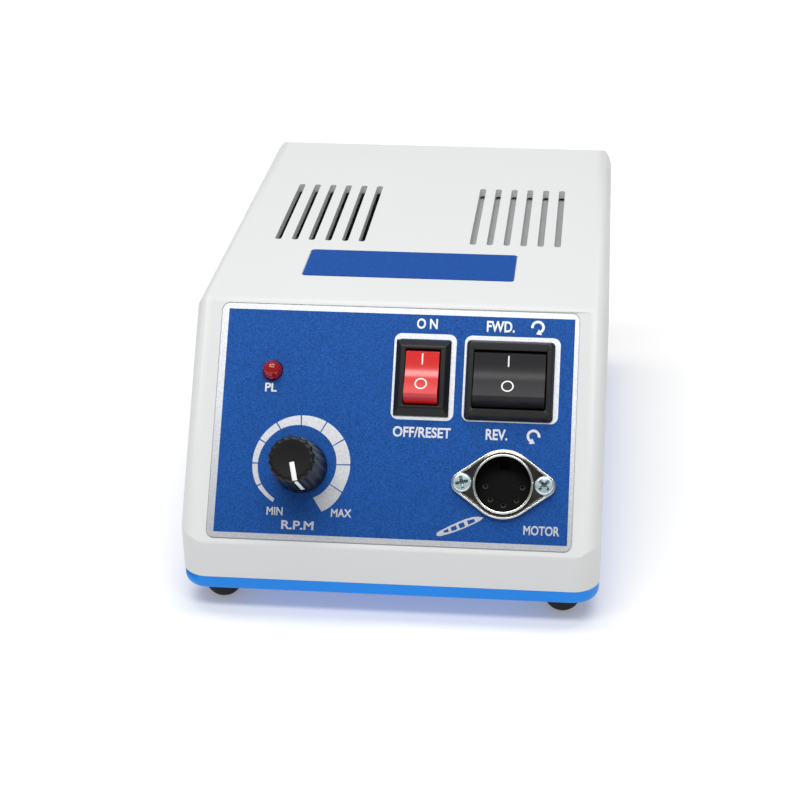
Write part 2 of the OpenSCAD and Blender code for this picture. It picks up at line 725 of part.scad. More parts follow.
module control_body() color("silver") in_case() at_control() difference() {
    union() {
        translate([0, 0, -wall - can_l]) cylinder(r = can_d / 2, h = can_l);
        translate([0, 0, -wall - cut]) cylinder(r = bush_d / 2, h = wall + cut + bush_top);
    }
    translate([0, 0, -wall - can_l + can_wall]) cylinder(r = can_d / 2 - can_wall, h = can_l - 2 * can_wall);
    translate([0, 0, -wall - can_wall - cut])
        cylinder(r = shaft_d / 2 + run_gap, h = wall + bush_top + can_wall + 2 * cut);
}
module control_washer() color("silver") in_case() at_control() translate([0, 0, label_top])
    tube(washer_d / 2, bush_d / 2 + run_gap, washer_t);
module control_nut() color("silver") in_case() at_control() translate([0, 0, label_top + washer_t])
    hex_nut(nut_af, bush_d / 2 + run_gap, nut_h);
module control_tabs() color("goldenrod") in_case() at_control() for (k = [-1:1])
    translate([k * 4.5 - 1, -can_d / 2 - 5, -wall - can_l / 2]) difference() {
        cube([2, 5 + can_d / 2 - sqrt(pow(can_d / 2, 2) - pow(abs(k) * 4.5 + 1, 2)), 0.8]);
        translate([1, 1.4, -cut]) cylinder(r = 0.5, h = 0.8 + 2 * cut);
        translate([1 - k * 4.5, 5 + can_d / 2, -cut]) cylinder(r = can_d / 2, h = 0.8 + 2 * cut);
    }

// Motor socket
module at_socket() { on_panel(socket_u, socket_v) children(); }
flange_top = label_top + flange_t;
flange_rim = [0.6, 0.3];
module socket_flange() color("silver") in_case() at_socket() difference() {
    union() {
        translate([0, 0, label_top]) linear_extrude(flange_t * 1.5) lozenge(flange_r, ear_r, socket_pitch);
        translate([0, 0, insert_face - insert_t])
            cylinder(r = shell_r, h = collar_top - insert_face + insert_t);
    }
    difference() {
        translate([0, 0, flange_top]) linear_extrude(flange_t)
            lozenge(flange_r - flange_rim[0], ear_r - flange_rim[1], socket_pitch);
        translate([0, 0, label_top]) cylinder(r = shell_r, h = collar_h);
    }
    translate([0, 0, insert_face]) cylinder(r = socket_bore_d / 2, h = socket_depth + cut);
    translate([0, 0, insert_face - insert_t - cut])
        cylinder(r = socket_bore_d / 2 - insert_step, h = insert_t + 2 * cut);
    for (s = [-1, 1]) translate([s * socket_pitch / 2, 0, label_top - cut])
        cylinder(r = socket_screw_d / 2 + run_gap, h = flange_t + 2 * cut);
}
module at_contacts() {
    spread = 45 * (contact_count - 1);
    for (k = [0:contact_count - 1]) rotate([0, 0, -90 - spread / 2 + k * 45])
        translate([contact_r, 0, 0]) children();
}
module socket_insert() color([0.08, 0.08, 0.08]) in_case() at_socket()
    translate([0, 0, insert_face - insert_t]) difference() {
        cylinder(r = socket_bore_d / 2 - insert_step, h = insert_t);
        at_contacts() translate([0, 0, -cut]) cylinder(r = contact_d / 2 + run_gap, h = insert_t + 2 * cut);
        translate([-1.3, socket_bore_d / 2 - insert_step - 2.2, insert_t - 2]) cube([2.6, 4, 4]);
    }
module socket_contacts() color("goldenrod") in_case() at_socket() at_contacts()
    translate([0, 0, insert_face - insert_t - contact_tail]) difference() {
        cylinder(r = contact_d / 2, h = insert_t + contact_tail - 0.8);
        translate([0, 0, contact_tail + 1]) cylinder(r = contact_d / 2 - 0.25, h = insert_t);
    }
module socket_screws() color("lightsteelblue") in_case() at_socket() for (s = [-1, 1])
    translate([s * socket_pitch / 2, 0, flange_top]) rotate([0, 0, s * 22])
        pan_screw(screw_head_r, screw_head_h, socket_screw_d / 2 - run_gap, flange_top + wall + 4);
module socket_nuts() color("silver") in_case() at_socket() for (s = [-1, 1])
    translate([s * socket_pitch / 2, 0, -wall - socket_nut_h]) rotate([0, 0, 30])
        hex_nut(socket_screw_d * 1.85, socket_screw_d / 2, socket_nut_h);

// Transformer
module at_transformer() { translate([trans_x, trans_y, floor_z]) children(); }
window_h = core_h - 2 * yoke_h;
bobbin_t = 1;
bobbin_gap = 0.2;
bobbin_in = [leg_w, core_t] + 2 * bobbin_gap * [1, 1];
coil_w = leg_w + 2 * window_w - 2 * bobbin_gap;
coil_r = 5;
module transformer_core() color("dimgray") in_case() at_transformer() difference() {
    translate([-core_w / 2, -core_t / 2, 0]) cube([core_w, core_t, core_h]);
    for (s = [-1, 1]) translate([s * (leg_w + window_w) / 2 - window_w / 2, -core_t / 2 - cut, yoke_h])
        cube([window_w, core_t + 2 * cut, window_h]);
}
module transformer_bobbin() color("ivory") in_case() at_transformer() translate([0, 0, yoke_h]) difference() {
    union() {
        linear_extrude(window_h) square(bobbin_in + 2 * bobbin_t * [1, 1], center = true);
        for (z = [0, window_h - bobbin_t]) translate([0, 0, z]) linear_extrude(bobbin_t)
            rounded_rect(coil_w, coil_d, coil_r);
    }
    translate([0, 0, -cut]) linear_extrude(window_h + 2 * cut) square(bobbin_in, center = true);
}
module transformer_winding() color("gold") in_case() at_transformer() translate([0, 0, yoke_h + bobbin_t])
    linear_extrude(window_h - 2 * bobbin_t) difference() {
        rounded_rect(coil_w - 1, coil_d - 1, coil_r);
        square(bobbin_in + 2 * bobbin_t * [1, 1], center = true);
    }
strap_hole_x = core_w / 2 + strap_t + strap_foot / 2;
module transformer_bracket() color("lightgray") in_case() at_transformer() difference() {
    union() {
        difference() {
            translate([-core_w / 2 - strap_t, -strap_w / 2, 0])
                cube([core_w + 2 * strap_t, strap_w, core_h + strap_t]);
            translate([-core_w / 2, -strap_w / 2 - cut, -cut])
                cube([core_w, strap_w + 2 * cut, core_h + cut]);
        }
        for (s = [-1, 1])
            translate([s * (core_w + strap_t + strap_foot) / 2 - strap_foot / 2, -strap_w / 2, 0])
                cube([strap_foot, strap_w, strap_t]);
    }
    for (s = [-1, 1]) translate([s * strap_hole_x, 0, -cut])
        cylinder(r = board_screw_d / 2 + slip_gap, h = strap_t + 2 * cut);
}
module transformer_screws() color("silver") in_case() at_transformer() for (s = [-1, 1])
    translate([s * strap_hole_x, 0, strap_t])
        pan_screw(screw_head[0], screw_head[1], board_screw_d / 2 - run_gap, strap_t + floor_t - 0.2);

// Control board
board_holes = [for (sx = [-1, 1], e = [board_hole_inset, board_d - board_hole_inset])
    [sx * (board_w / 2 - board_hole_inset), board_y + e]];
sink_holes = [for (s = [-1, 1]) [sink_x + s * sink_w / 3, sink_y + sink_t + sink_foot / 2]];
strap_holes = [for (s = [-1, 1]) [trans_x + s * strap_hole_x, trans_y]];
floor_holes = concat(board_holes, sink_holes, strap_holes);
module control_board() color("darkgreen") in_case() difference() {
    translate([-board_w / 2, board_y, board_z]) cube([board_w, board_d, board_t]);
    for (p = board_holes) translate([p[0], p[1], board_z - cut])
        cylinder(r = board_screw_d / 2 + slip_gap, h = board_t + 2 * cut);
}
module board_spacers() color("white") in_case() for (p = board_holes) translate([p[0], p[1], floor_z])
    tube(3, board_screw_d / 2 + slip_gap, spacer_h);
module board_screws() color("silver") in_case() for (p = board_holes) translate([p[0], p[1], board_top])
    pan_screw(screw_head[0], screw_head[1], board_screw_d / 2 - run_gap, board_t + spacer_h + floor_t - 0.2);
module on_board(x, y) { translate([x, board_y + y, board_top]) children(); }
header_x = [-28, -10, 8, 26];
header_y = 4;
header_size = [10, 5.8, 7];
header_wall = 0.8;
header_floor = 1.5;
part_gap = 0.8;
// Where the pieces behind the headers start, and where those at the rear edge end
front_row = header_y + header_size[1] / 2 + part_gap;
rear_row = board_d - board_hole_inset - 1.8;
bridge_size = [15, 5, 14];
bridge_lift = 3;
bridge_y = rear_row - 4.5;
relay_size = [19, 15, 15.5];
chip_size = [10, 6.4, 3.4];
chip_y = front_row + 8.3;
trimmer_size = [6.6, 6.6, 5];
module filter_capacitors() color([0.15, 0.17, 0.3]) in_case() for (k = [0, 1])
    on_board(-board_w / 2 + 12 + cap_d / 2 + k * (cap_d + 2), rear_row - cap_d / 2) {
        cylinder(r = cap_d / 2, h = cap_h - 0.8);
        translate([0, 0, cap_h - 0.8]) cylinder(r1 = cap_d / 2, r2 = cap_d / 2 - 0.8, h = 0.8);
    }
module bridge_rectifier() color([0.12, 0.12, 0.12]) in_case() on_board(12, bridge_y)
    translate([-bridge_size[0] / 2, -bridge_size[1] / 2, 0]) {
        translate([0, 0, bridge_lift]) cube(bridge_size);
        for (k = [0:3]) translate([bridge_size[0] * (k + 0.5) / 4 - 0.5, bridge_size[1] / 2 - 0.4, 0])
            cube([1, 0.8, bridge_lift + cut]);
    }
module overload_relay() color([0.15, 0.3, 0.6]) in_case() on_board(10, front_row)
    translate([-relay_size[0] / 2, 0, 0]) cube(relay_size);
module control_chip() color([0.1, 0.1, 0.1]) in_case() on_board(31, chip_y) {
    difference() {
        translate([-chip_size[0] / 2, -chip_size[1] / 2, 0.6]) cube(chip_size);
        translate([-chip_size[0] / 2, 0, chip_size[2] - 0.2]) cylinder(r = 1, h = 2);
    }
    for (k = [0:3], s = [-1, 1])
        translate([-4.2 + k * 2.54, s * (chip_size[1] / 2 + 0.4) - 0.4, 0]) cube([0.6, 0.8, 2]);
}
module trimmers() color([0.2, 0.35, 0.75]) in_case() for (k = [0, 1])
    on_board(-20 - k * 10, front_row) difference() {
        translate([-trimmer_size[0] / 2, 0, 0]) cube(trimmer_size);
        translate([-0.5, trimmer_size[1] / 2 - 1.6, trimmer_size[2] - 0.6]) cube([1, 3.2, 1]);
    }
module board_headers() color("ivory") in_case() for (x = header_x) on_board(x, header_y) difference() {
    translate([-header_size[0] / 2, -header_size[1] / 2, 0]) cube(header_size);
    translate([header_wall - header_size[0] / 2, header_wall - header_size[1] / 2, header_floor])
        cube([header_size[0] - 2 * header_wall, header_size[1] - 2 * header_wall, header_size[2]]);
}

// Heat sink with the output transistor
case_t = 4.5;
case_wide = 10;
case_tab_t = 1.3;
case_hole_z = 12.5;
lead_drop = 9;
module heat_sink() color("lightgray") in_case() translate([sink_x - sink_w / 2, sink_y, 0]) difference() {
    union() {
        translate([0, 0, floor_z]) cube([sink_w, sink_t, sink_top - floor_z]);
        translate([0, 0, floor_z]) cube([sink_w, sink_t + sink_foot, sink_t]);
        translate([0, 0, sink_top]) rotate([top_rise, 0, 0]) translate([0, 0, -sink_t])
            cube([sink_w, sink_l, sink_t]);
    }
    for (s = [-1, 1]) translate([sink_w / 2 + s * sink_w / 3, sink_t + sink_foot / 2, floor_z - cut])
        cylinder(r = board_screw_d / 2 + slip_gap, h = sink_t + 2 * cut);
    translate([sink_w / 2, sink_t + cut, board_top + lead_drop + case_hole_z]) rotate([90, 0, 0])
        cylinder(r = case_screw_d / 2, h = sink_t + 2 * cut);
}
module heat_sink_screws() color("silver") in_case() for (p = sink_holes)
    translate([p[0], p[1], floor_z + sink_t])
        pan_screw(screw_head[0], screw_head[1], board_screw_d / 2 - run_gap, sink_t + floor_t - 0.2);
module power_transistor() color([0.12, 0.12, 0.12]) in_case()
    translate([sink_x, sink_y - case_t, board_top + lead_drop]) {
        translate([-case_wide / 2, 0, 0]) cube([case_wide, case_t, 9]);
        difference() {
            translate([-case_wide / 2, case_t - case_tab_t, 0]) cube([case_wide, case_tab_t, 15.5]);
            translate([0, case_t + cut, case_hole_z]) rotate([90, 0, 0])
                cylinder(r = case_screw_d / 2 + slip_gap, h = case_tab_t + 2 * cut);
        }
        for (k = [-1:1]) translate([k * 2.54 - 0.4, 0.4, -lead_drop]) cube([0.8, 0.6, lead_drop + cut]);
    }
module transistor_screw() color("silver") in_case()
    translate([sink_x, sink_y - case_tab_t, board_top + lead_drop + case_hole_z]) rotate([90, 0, 0])
        pan_screw(screw_head[0], screw_head[1], case_screw_d / 2 - run_gap, case_tab_t + sink_t + 2);

// Rear fittings, drawn with the rear wall's outer face at zero
cord_in = wall + 6;
module cord_bush() color([0.1, 0.1, 0.1]) in_case() on_rear(cord_x, cord_z) difference() {
    union() {
        translate([0, 0, -cord_in]) cylinder(r = cord_bush_d / 2, h = cord_in + cord_flange_t);
        cylinder(r = cord_bush_d / 2 + 2, h = cord_flange_t - 0.6);
        translate([0, 0, -wall - 1.5]) cylinder(r = cord_bush_d / 2 + 1.2, h = 1.5);
    }
    translate([0, 0, -cord_in - cut]) cylinder(r = cord_bore_d / 2, h = cord_in + cord_flange_t + 2 * cut);
}
fuse_seat = fuse_flange_t - fuse_plug_l;
module at_fuse() { on_rear(fuse_x, fuse_z) children(); }
module fuse_holder() color([0.1, 0.1, 0.1]) in_case() at_fuse() difference() {
    union() {
        cylinder(r = fuse_body_d / 2 + 2, h = fuse_flange_t);
        translate([0, 0, -fuse_in]) cylinder(r = fuse_body_d / 2, h = fuse_in + cut);
    }
    translate([0, 0, fuse_seat]) cylinder(r = fuse_plug_d / 2 + slip_gap, h = fuse_plug_l + cut);
    translate([0, 0, fuse_seat - fuse_l - 0.5]) cylinder(r = fuse_bore_d / 2, h = fuse_l + cut);
}
module fuse_holder_nut() color([0.1, 0.1, 0.1]) in_case() at_fuse() translate([0, 0, -wall - 4])
    hex_nut(fuse_body_d + 5, fuse_body_d / 2 + run_gap, 4);
module fuse_cap() color([0.13, 0.13, 0.13]) in_case() at_fuse() difference() {
    union() {
        translate([0, 0, fuse_flange_t + free_gap]) cylinder(r = fuse_cap_d / 2, h = fuse_cap_h - 0.8);
        translate([0, 0, fuse_flange_t + free_gap + fuse_cap_h - 0.8])
            cylinder(r1 = fuse_cap_d / 2, r2 = fuse_cap_d / 2 - 0.8, h = 0.8);
        translate([0, 0, fuse_seat + free_gap]) cylinder(r = fuse_plug_d / 2, h = fuse_plug_l + cut);
    }
    translate([-fuse_cap_d, -0.7, fuse_flange_t + free_gap + fuse_cap_h - 1.5])
        cube([2 * fuse_cap_d, 1.4, 3]);
    for (k = [0:11]) rotate([0, 0, k * 30]) translate([fuse_cap_d / 2 + 0.5, 0, fuse_flange_t - cut])
        cylinder(r = 1, h = fuse_cap_h - cut, $fn = 24);
}
fuse_end_l = 5;
fuse_top = fuse_seat + free_gap;
module fuse_glass() color("lightcyan") in_case() at_fuse() translate([0, 0, fuse_top - fuse_l + 0.5])
    cylinder(r = fuse_d / 2 - 0.3, h = fuse_l - 1);
module fuse_ends() color("silver") in_case() at_fuse() for (e = [0, 1])
    translate([0, 0, fuse_top - (1 - e) * fuse_l - e * fuse_end_l]) difference() {
        cylinder(r = fuse_d / 2, h = fuse_end_l);
        translate([0, 0, 0.5 - e * (0.5 + cut)])
            cylinder(r = fuse_d / 2 - 0.3, h = fuse_end_l - 0.5 + cut);
    }
module foot_jack() color([0.12, 0.12, 0.12]) in_case() on_rear(jack_x, jack_z) difference() {
    union() {
        translate([0, 0, -wall - cut]) cylinder(r = jack_bush_d / 2, h = wall + cut + jack_out);
        translate([0, 0, jack_out - jack_bore_l - jack_end_t])
            cylinder(r = jack_body_d / 2, h = jack_bore_l + jack_end_t - jack_out - wall);
    }
    translate([0, 0, jack_out - jack_bore_l]) cylinder(r = jack_bore_d / 2, h = jack_bore_l + cut);
}
module foot_jack_nut() color("silver") in_case() on_rear(jack_x, jack_z)
    tube(jack_bush_d / 2 + 2, jack_bush_d / 2 + run_gap, jack_nut_h);
module at_mode() { on_rear(mode_x, mode_z) translate([0, 0, -wall]) children(); }
mode_block = [mode_knob[0] + 2, mode_knob[1] + 1, 3];
module mode_switch_frame() color("lightgray") in_case() at_mode() difference() {
    union() {
        translate([0, 0, -mode_plate_t]) linear_extrude(mode_plate_t) square(mode_plate, center = true);
        translate([0, 0, -mode_plate_t - mode_box[2]]) linear_extrude(mode_box[2] + mode_plate_t / 2)
            square([mode_box[0], mode_box[1]], center = true);
    }
    translate([0, 0, -mode_plate_t - cut]) linear_extrude(mode_plate_t + 2 * cut)
        mode_slot();
    translate([0, 0, -mode_plate_t - mode_block[2] - 2 * free_gap])
        linear_extrude(mode_block[2] + 2 * free_gap)
            square([mode_block[0] + mode_travel, mode_block[1]] + 2 * free_gap * [1, 1], center = true);
    for (s = [-1, 1]) translate([s * mode_pitch / 2, 0, -mode_plate_t - cut])
        cylinder(r = 1, h = mode_plate_t + 2 * cut);
}
module mode_slider() color([0.1, 0.1, 0.1]) in_case() at_mode() translate([mode_travel / 2, 0, 0]) {
    translate([0, 0, -mode_plate_t - mode_block[2] - free_gap]) linear_extrude(mode_block[2])
        square([mode_block[0], mode_block[1]], center = true);
    translate([0, 0, -mode_plate_t - 2 * free_gap])
        linear_extrude(mode_plate_t + 2 * free_gap + wall + mode_out) square(mode_knob, center = true);
}
module mode_switch_screws() color("silver") in_case() for (s = [-1, 1])
    on_rear(mode_x + s * mode_pitch / 2, mode_z) pan_screw(1.9, 1.2, 1 - run_gap, wall + mode_plate_t + 1);

// Leads inside the case, each along its own points
lead_r = 0.8;
lead_rise = 12;
lead_stub = 3;
tab_end = label_top - switch_depth - tab_l;
lamp_end = label_top - lamp_back - lamp_rim_t - lamp_leads_l;
tail_end = insert_face - insert_t - contact_tail;
control_end = knob_v - can_d / 2 - 5;
control_h = -wall - can_l / 2 + 0.4;
function panel_pt(u, v, h) = [u, panel_y(v, h), crease_z + v * cos(panel_tilt) + h * sin(panel_tilt)];
// Two points straight back from a terminal on the panel
function from_panel(u, v, h) = [panel_pt(u, v, h), panel_pt(u, v, h - lead_stub)];
// Two points straight down into a header's way, or onto the board
function to_header(k, dx) = [for (z = [lead_rise, header_floor])
    [header_x[k] + dx, board_y + header_y, board_top + z]];
function to_board(x, y) = [for (z = [lead_rise / 2, 0]) [x, board_y + y, board_top + z]];
winding_y = trans_y - (coil_d - 1) / 2;
lead_z = floor_z + yoke_h + 8;
jack_end = case_d + jack_out - jack_bore_l - jack_end_t;
mode_end = case_d - wall - mode_plate_t - mode_box[2];
side_x = case_w / 2 - wall - lip_gap - lip_t - 3;
sink_side = sink_x - sink_w / 2 - 3;
fuse_end = case_d - fuse_in;
lead_x = max(fuse_x + 4, trans_x + core_w / 2 + strap_t + 4);
lead_routes = [
    concat(from_panel(power_u, switch_v - switch_l / 4, tab_end), to_header(2, -2.6)),
    concat(from_panel(power_u, switch_v + switch_l / 4, tab_end), to_header(2, 2.6)),
    concat(from_panel(direction_u - direction_w / 4, switch_v - switch_l / 3, tab_end), to_header(3, 0)),
    concat(from_panel(lamp_u - 1.27, lamp_v, lamp_end), to_header(0, -2.6)),
    concat(from_panel(lamp_u + 1.27, lamp_v, lamp_end), to_header(0, 0)),
    concat([panel_pt(knob_u, control_end, control_h), panel_pt(knob_u, control_end - lead_stub, control_h),
        [knob_u, board_y / 2 + 4, board_z + 1], [header_x[1], board_y - 3, board_top + lead_rise]],
        to_header(1, 0)),
    concat(from_panel(socket_u - contact_r, socket_v, tail_end), to_header(3, -2.6)),
    concat(from_panel(socket_u + contact_r, socket_v, tail_end), to_header(3, 2.6)),
    for (dx = [-8, 8]) concat([[trans_x + dx, winding_y, lead_z], [trans_x + dx, winding_y - 4, lead_z]],
        to_board(trans_x + dx, board_d - 3)),
    concat([[fuse_x, fuse_end, fuse_z], [fuse_x, fuse_end - lead_stub, fuse_z],
        [lead_x, fuse_end - 8, fuse_z - 2], [lead_x, sink_y + 20, lead_z],
        [sink_side, sink_y + 8, board_top + 6]], to_board(sink_side, board_d - 3)),
    concat([[jack_x, jack_end, jack_z], [jack_x, jack_end - lead_stub, jack_z],
        [side_x, jack_end - 28, jack_z - 6], [side_x, sink_y, board_top + 8]],
        to_board(board_w / 2 - 2, board_d * 0.62)),
    concat([[mode_x, mode_end, mode_z], [mode_x, mode_end - lead_stub, mode_z],
        [side_x, mode_end - 20, mode_z - 6], [side_x, mode_end - 50, mode_z - 16],
        [side_x, sink_y + 4, board_top + 14]], to_board(board_w / 2 - 2, board_d * 0.47))];
lead_sides = 8;
function route_dir(r, k) = unit((k < len(r) - 1 ? unit(r[k + 1] - r[k]) : [0, 0, 0])
    + (k > 0 ? unit(r[k] - r[k - 1]) : [0, 0, 0]));
function route_ring(p, d) = let (s = unit(cross(d, [1, 0, 0])), t = cross(s, d))
    [for (j = [0:lead_sides - 1]) let (a = j * 360 / lead_sides) p + lead_r * (cos(a) * s + sin(a) * t)];
module lead(route) {
    last = len(route) - 1;
    polyhedron(
        points = [for (k = [0:last]) each route_ring(route[k], route_dir(route, k))],
        faces = [[for (j = [lead_sides - 1:-1:0]) j], [for (j = [0:lead_sides - 1]) last * lead_sides + j],
            for (k = [0:last - 1], j = [0:lead_sides - 1]) let (
                a = k * lead_sides + j, b = k * lead_sides + (j + 1) % lead_sides)
                each [[a, b, b + lead_sides], [a, b + lead_sides, a + lead_sides]]]);
}
module internal_leads() color("firebrick") in_case() for (route = lead_routes) lead(route);

top_cover();
base_tray();
rubber_feet();
case_screws();
front_label();
top_label();
rating_plate();
power_switch_body();
power_rocker();
power_switch_tabs();
direction_switch_body();
direction_rocker();
direction_switch_tabs();
pilot_lamp_lens();
pilot_lamp_holder();
pilot_lamp_leads();
speed_knob();
knob_pointer();
control_shaft();
control_wiper();
control_body();
control_washer();
control_nut();
control_tabs();
socket_flange();
socket_insert();
socket_contacts();
socket_screws();
socket_nuts();
transformer_core();
transformer_bobbin();
transformer_winding();
transformer_bracket();
transformer_screws();
control_board();
board_spacers();
board_screws();
filter_capacitors();
bridge_rectifier();
overload_relay();
control_chip();
trimmers();
board_headers();
power_transistor();
transistor_screw();
heat_sink();
heat_sink_screws();
cord_bush();
fuse_holder();
fuse_holder_nut();
fuse_cap();
fuse_glass();
fuse_ends();
foot_jack();
foot_jack_nut();
mode_switch_frame();
mode_slider();
mode_switch_screws();
internal_leads();
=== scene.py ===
"""Looks of a bench control unit for a small handpiece motor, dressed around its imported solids.

Pieces are set out in millimetres on one face of the case, then placed in the row frame in metres.
"""

import logging
import math
from dataclasses import dataclass
from enum import Enum
from typing import Callable, Optional, Sequence, Union

import bmesh
import bpy
from mathutils import Matrix, Vector


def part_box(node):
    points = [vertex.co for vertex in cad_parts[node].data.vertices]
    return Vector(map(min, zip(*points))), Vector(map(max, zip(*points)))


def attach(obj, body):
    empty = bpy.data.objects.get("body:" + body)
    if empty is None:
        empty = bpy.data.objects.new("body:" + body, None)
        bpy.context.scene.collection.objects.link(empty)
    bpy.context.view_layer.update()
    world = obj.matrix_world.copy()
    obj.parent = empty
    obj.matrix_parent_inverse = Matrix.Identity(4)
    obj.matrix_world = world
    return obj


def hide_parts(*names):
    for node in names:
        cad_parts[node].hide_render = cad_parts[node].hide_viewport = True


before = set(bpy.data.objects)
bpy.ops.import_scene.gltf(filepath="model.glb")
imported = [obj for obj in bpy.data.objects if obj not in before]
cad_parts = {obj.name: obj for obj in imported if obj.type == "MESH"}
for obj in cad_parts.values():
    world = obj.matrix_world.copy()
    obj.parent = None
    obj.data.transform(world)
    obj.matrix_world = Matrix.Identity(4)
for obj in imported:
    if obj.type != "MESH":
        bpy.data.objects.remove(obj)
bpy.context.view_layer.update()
LOG = logging.getLogger("control_unit")
MM = 0.001
WELD, FINE_WELD, CAD_WELD = 1e-4, 1e-5, 2e-4  # millimetres within which points merge
FLAT_ANGLE = 0.5  # degrees up to which faces count as one
HAIR = 0.02  # slack in millimetres

Colour = tuple[float, float, float]
Point = tuple[float, float]
Spot = tuple[float, float, float]
Socket = bpy.types.NodeSocket
Value = Union[Socket, float, Colour]


def screen(red: float, green: float, blue: float) -> Colour:
    """Turn a screen colour, each part from 0 to 255, into the linear colour that shaders use."""
    parts = (c / 255.0 for c in (red, green, blue))
    return tuple(c / 12.92 if c <= 0.04045 else ((c + 0.055) / 1.055) ** 2.4 for c in parts)


@dataclass(frozen=True)
class CaseSizes:
    """Sizes that every piece is set out from, in millimetres and degrees."""

    width: float = 114.0
    depth: float = 170.0
    middle: float = -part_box("top_cover")[0][1] / MM
    base_low: float = 7.0
    base_edge: float = 1.4
    cover_low: float = 10.75
    crease: float = 21.25
    corner: float = 7.5
    panel_length: float = 68.0
    panel_tilt: float = 36.0
    top_rise: float = 2.0
    label_face: float = 0.1

    def brow(self) -> Point:
        """Depth and height of the edge between the panel and the top."""
        tilt = math.radians(self.panel_tilt)
        return self.panel_length * math.sin(tilt), self.crease + self.panel_length * math.cos(tilt)


CASE = CaseSizes()


class Place(Enum):
    """Faces of the case that pieces are set out on."""

    ROW = "row"
    CASE = "case"
    PANEL = "panel"
    TOP = "top"
    REAR = "rear"

    def matrix(self) -> Matrix:
        """Matrix from millimetres on this face to metres in the row frame.

        Returns:
            The matrix.
        """
        scale = Matrix.Scale(MM, 4)
        if self is Place.ROW:
            return scale
        shift = scale @ Matrix.Translation((0, -CASE.middle, 0))
        if self is Place.PANEL:
            turn = Matrix.Rotation(math.radians(90 - CASE.panel_tilt), 4, "X")
            return shift @ Matrix.Translation((0, 0, CASE.crease)) @ turn
        if self is Place.TOP:
            turn = Matrix.Rotation(math.radians(CASE.top_rise), 4, "X")
            return shift @ Matrix.Translation((0, *CASE.brow())) @ turn
        if self is Place.REAR:
            turn = Matrix.Rotation(math.pi, 4, "Z") @ Matrix.Rotation(math.pi / 2, 4, "X")
            return shift @ Matrix.Translation((0, CASE.depth, 0)) @ turn
        return shift


class Body(Enum):
    """Rigid bodies that pieces ride on."""

    CASE = "case"
    POWER = "power_rocker"
    DIRECTION = "direction_rocker"
    SPEED = "speed_control"
    FUSE_CAP = "fuse_cap"
    MODE = "mode_slider"


# Shading


class Graph:
    """Nodes of one material or of one shared group."""

    def __init__(self, tree: bpy.types.NodeTree) -> None:
        """Add to this tree."""
        self.tree = tree

    def feed(self, slot: Socket, value: Value) -> None:
        """Give an input a socket, a number or a colour.

        Args:
            slot: The input.
            value: What it gets.
        """
        if isinstance(value, Socket):
            self.tree.links.new(value, slot)
        else:
            slot.default_value = (*value, 1.0) if isinstance(value, tuple) else value

    def node(self, kind: str, **inputs: Value) -> bpy.types.Node:
        """Add a node.

        Args:
            kind: Its type, without the first words that all have.
            **inputs: What its inputs get, by name.

        Returns:
            The node.
        """
        node = self.tree.nodes.new("ShaderNode" + kind)
        for name, value in inputs.items():
            self.feed(node.inputs[name], value)
        return node

    def surface(self, name: str, value: Value) -> None:
        """Feed an input of the material's own shader."""
        self.feed(self.tree.nodes["Principled BSDF"].inputs[name], value)

    def spot(self) -> Socket:
        """Object coordinates."""
        return self.node("TexCoord").outputs["Object"]

    def along(self, axis: int) -> Socket:
        """Object coordinate along one axis."""
        return self.node("SeparateXYZ", Vector=self.spot()).outputs[axis]

    def noise(self, scale: Value, detail: float, vector: Optional[Socket] = None) -> Socket:
        """Noise from 0 to 1, over the object coordinates unless others are given."""
        spot = vector or self.spot()
        return self.node("TexNoise", Vector=spot, Scale=scale, Detail=detail).outputs[0]

    def math(self, kind: str, first: Value, second: Value = 0.0, clamp: bool = False) -> Socket:
        """Join two values.

        Args:
            kind: Operation of the Math node.
            first: Socket or number.
            second: Socket or number.
            clamp: Whether the result stays between 0 and 1.

        Returns:
            The result.
        """
        node = self.node("Math")
        node.operation, node.use_clamp = kind, clamp
        self.feed(node.inputs[0], first)
        self.feed(node.inputs[1], second)
        return node.outputs[0]

    def times(self, first: Value, second: Value) -> Socket:
        """Product of two values."""
        return self.math("MULTIPLY", first, second)

    def less(self, first: Value, second: Value) -> Socket:
        """First value less the second."""
        return self.math("SUBTRACT", first, second)

    def mix(self, share: Socket, first: Value, second: Value) -> Socket:
        """Mix two colours.

        Args:
            share: Share of the second.
            first: Colour or socket.
            second: Colour or socket.

        Returns:
            The mixed colour.
        """
        node = self.node("Mix")
        node.data_type = "RGBA"
        for slot, value in ((0, share), (6, first), (7, second)):
            self.feed(node.inputs[slot], value)
        return node.outputs[2]

    def effect(self, fill: Callable[..., Socket], **values: float) -> Socket:
        """Place a shared node group, built on its first use.

        Args:
            fill: Effect that adds the group's nodes, given its graph and its inputs.
            **values: Values of the inputs, by name.

        Returns:
            The group's value.
        """
        group = bpy.data.node_groups.get(fill.__name__)
        if group is None:
            group = bpy.data.node_groups.new(fill.__name__, "ShaderNodeTree")
            for name in values:
                group.interface.new_socket(name=name, in_out="INPUT", socket_type="NodeSocketFloat")
            group.interface.new_socket(name="Value", in_out="OUTPUT", socket_type="NodeSocketFloat")
            start, end = group.nodes.new("NodeGroupInput"), group.nodes.new("NodeGroupOutput")
            inner = Graph(group)
            inner.feed(end.inputs["Value"], fill(inner, *(start.outputs[name] for name in values)))
        node = self.node("Group")
        node.node_tree = group
        for name, value in values.items():
            node.inputs[name].default_value = value
        return node.outputs[0]


def fine_grain(graph: Graph, scale: Socket, finer: float = 2.7, share: float = 0.35) -> Socket:
    """Fine grain of a moulded or sprayed face: soft pebbles with smaller ones between."""
    coarse, fine = graph.noise(scale, 2.0), graph.noise(graph.times(scale, finer), 1.0)
    return graph.math("ADD", graph.times(coarse, 1 - share), graph.times(fine, share))


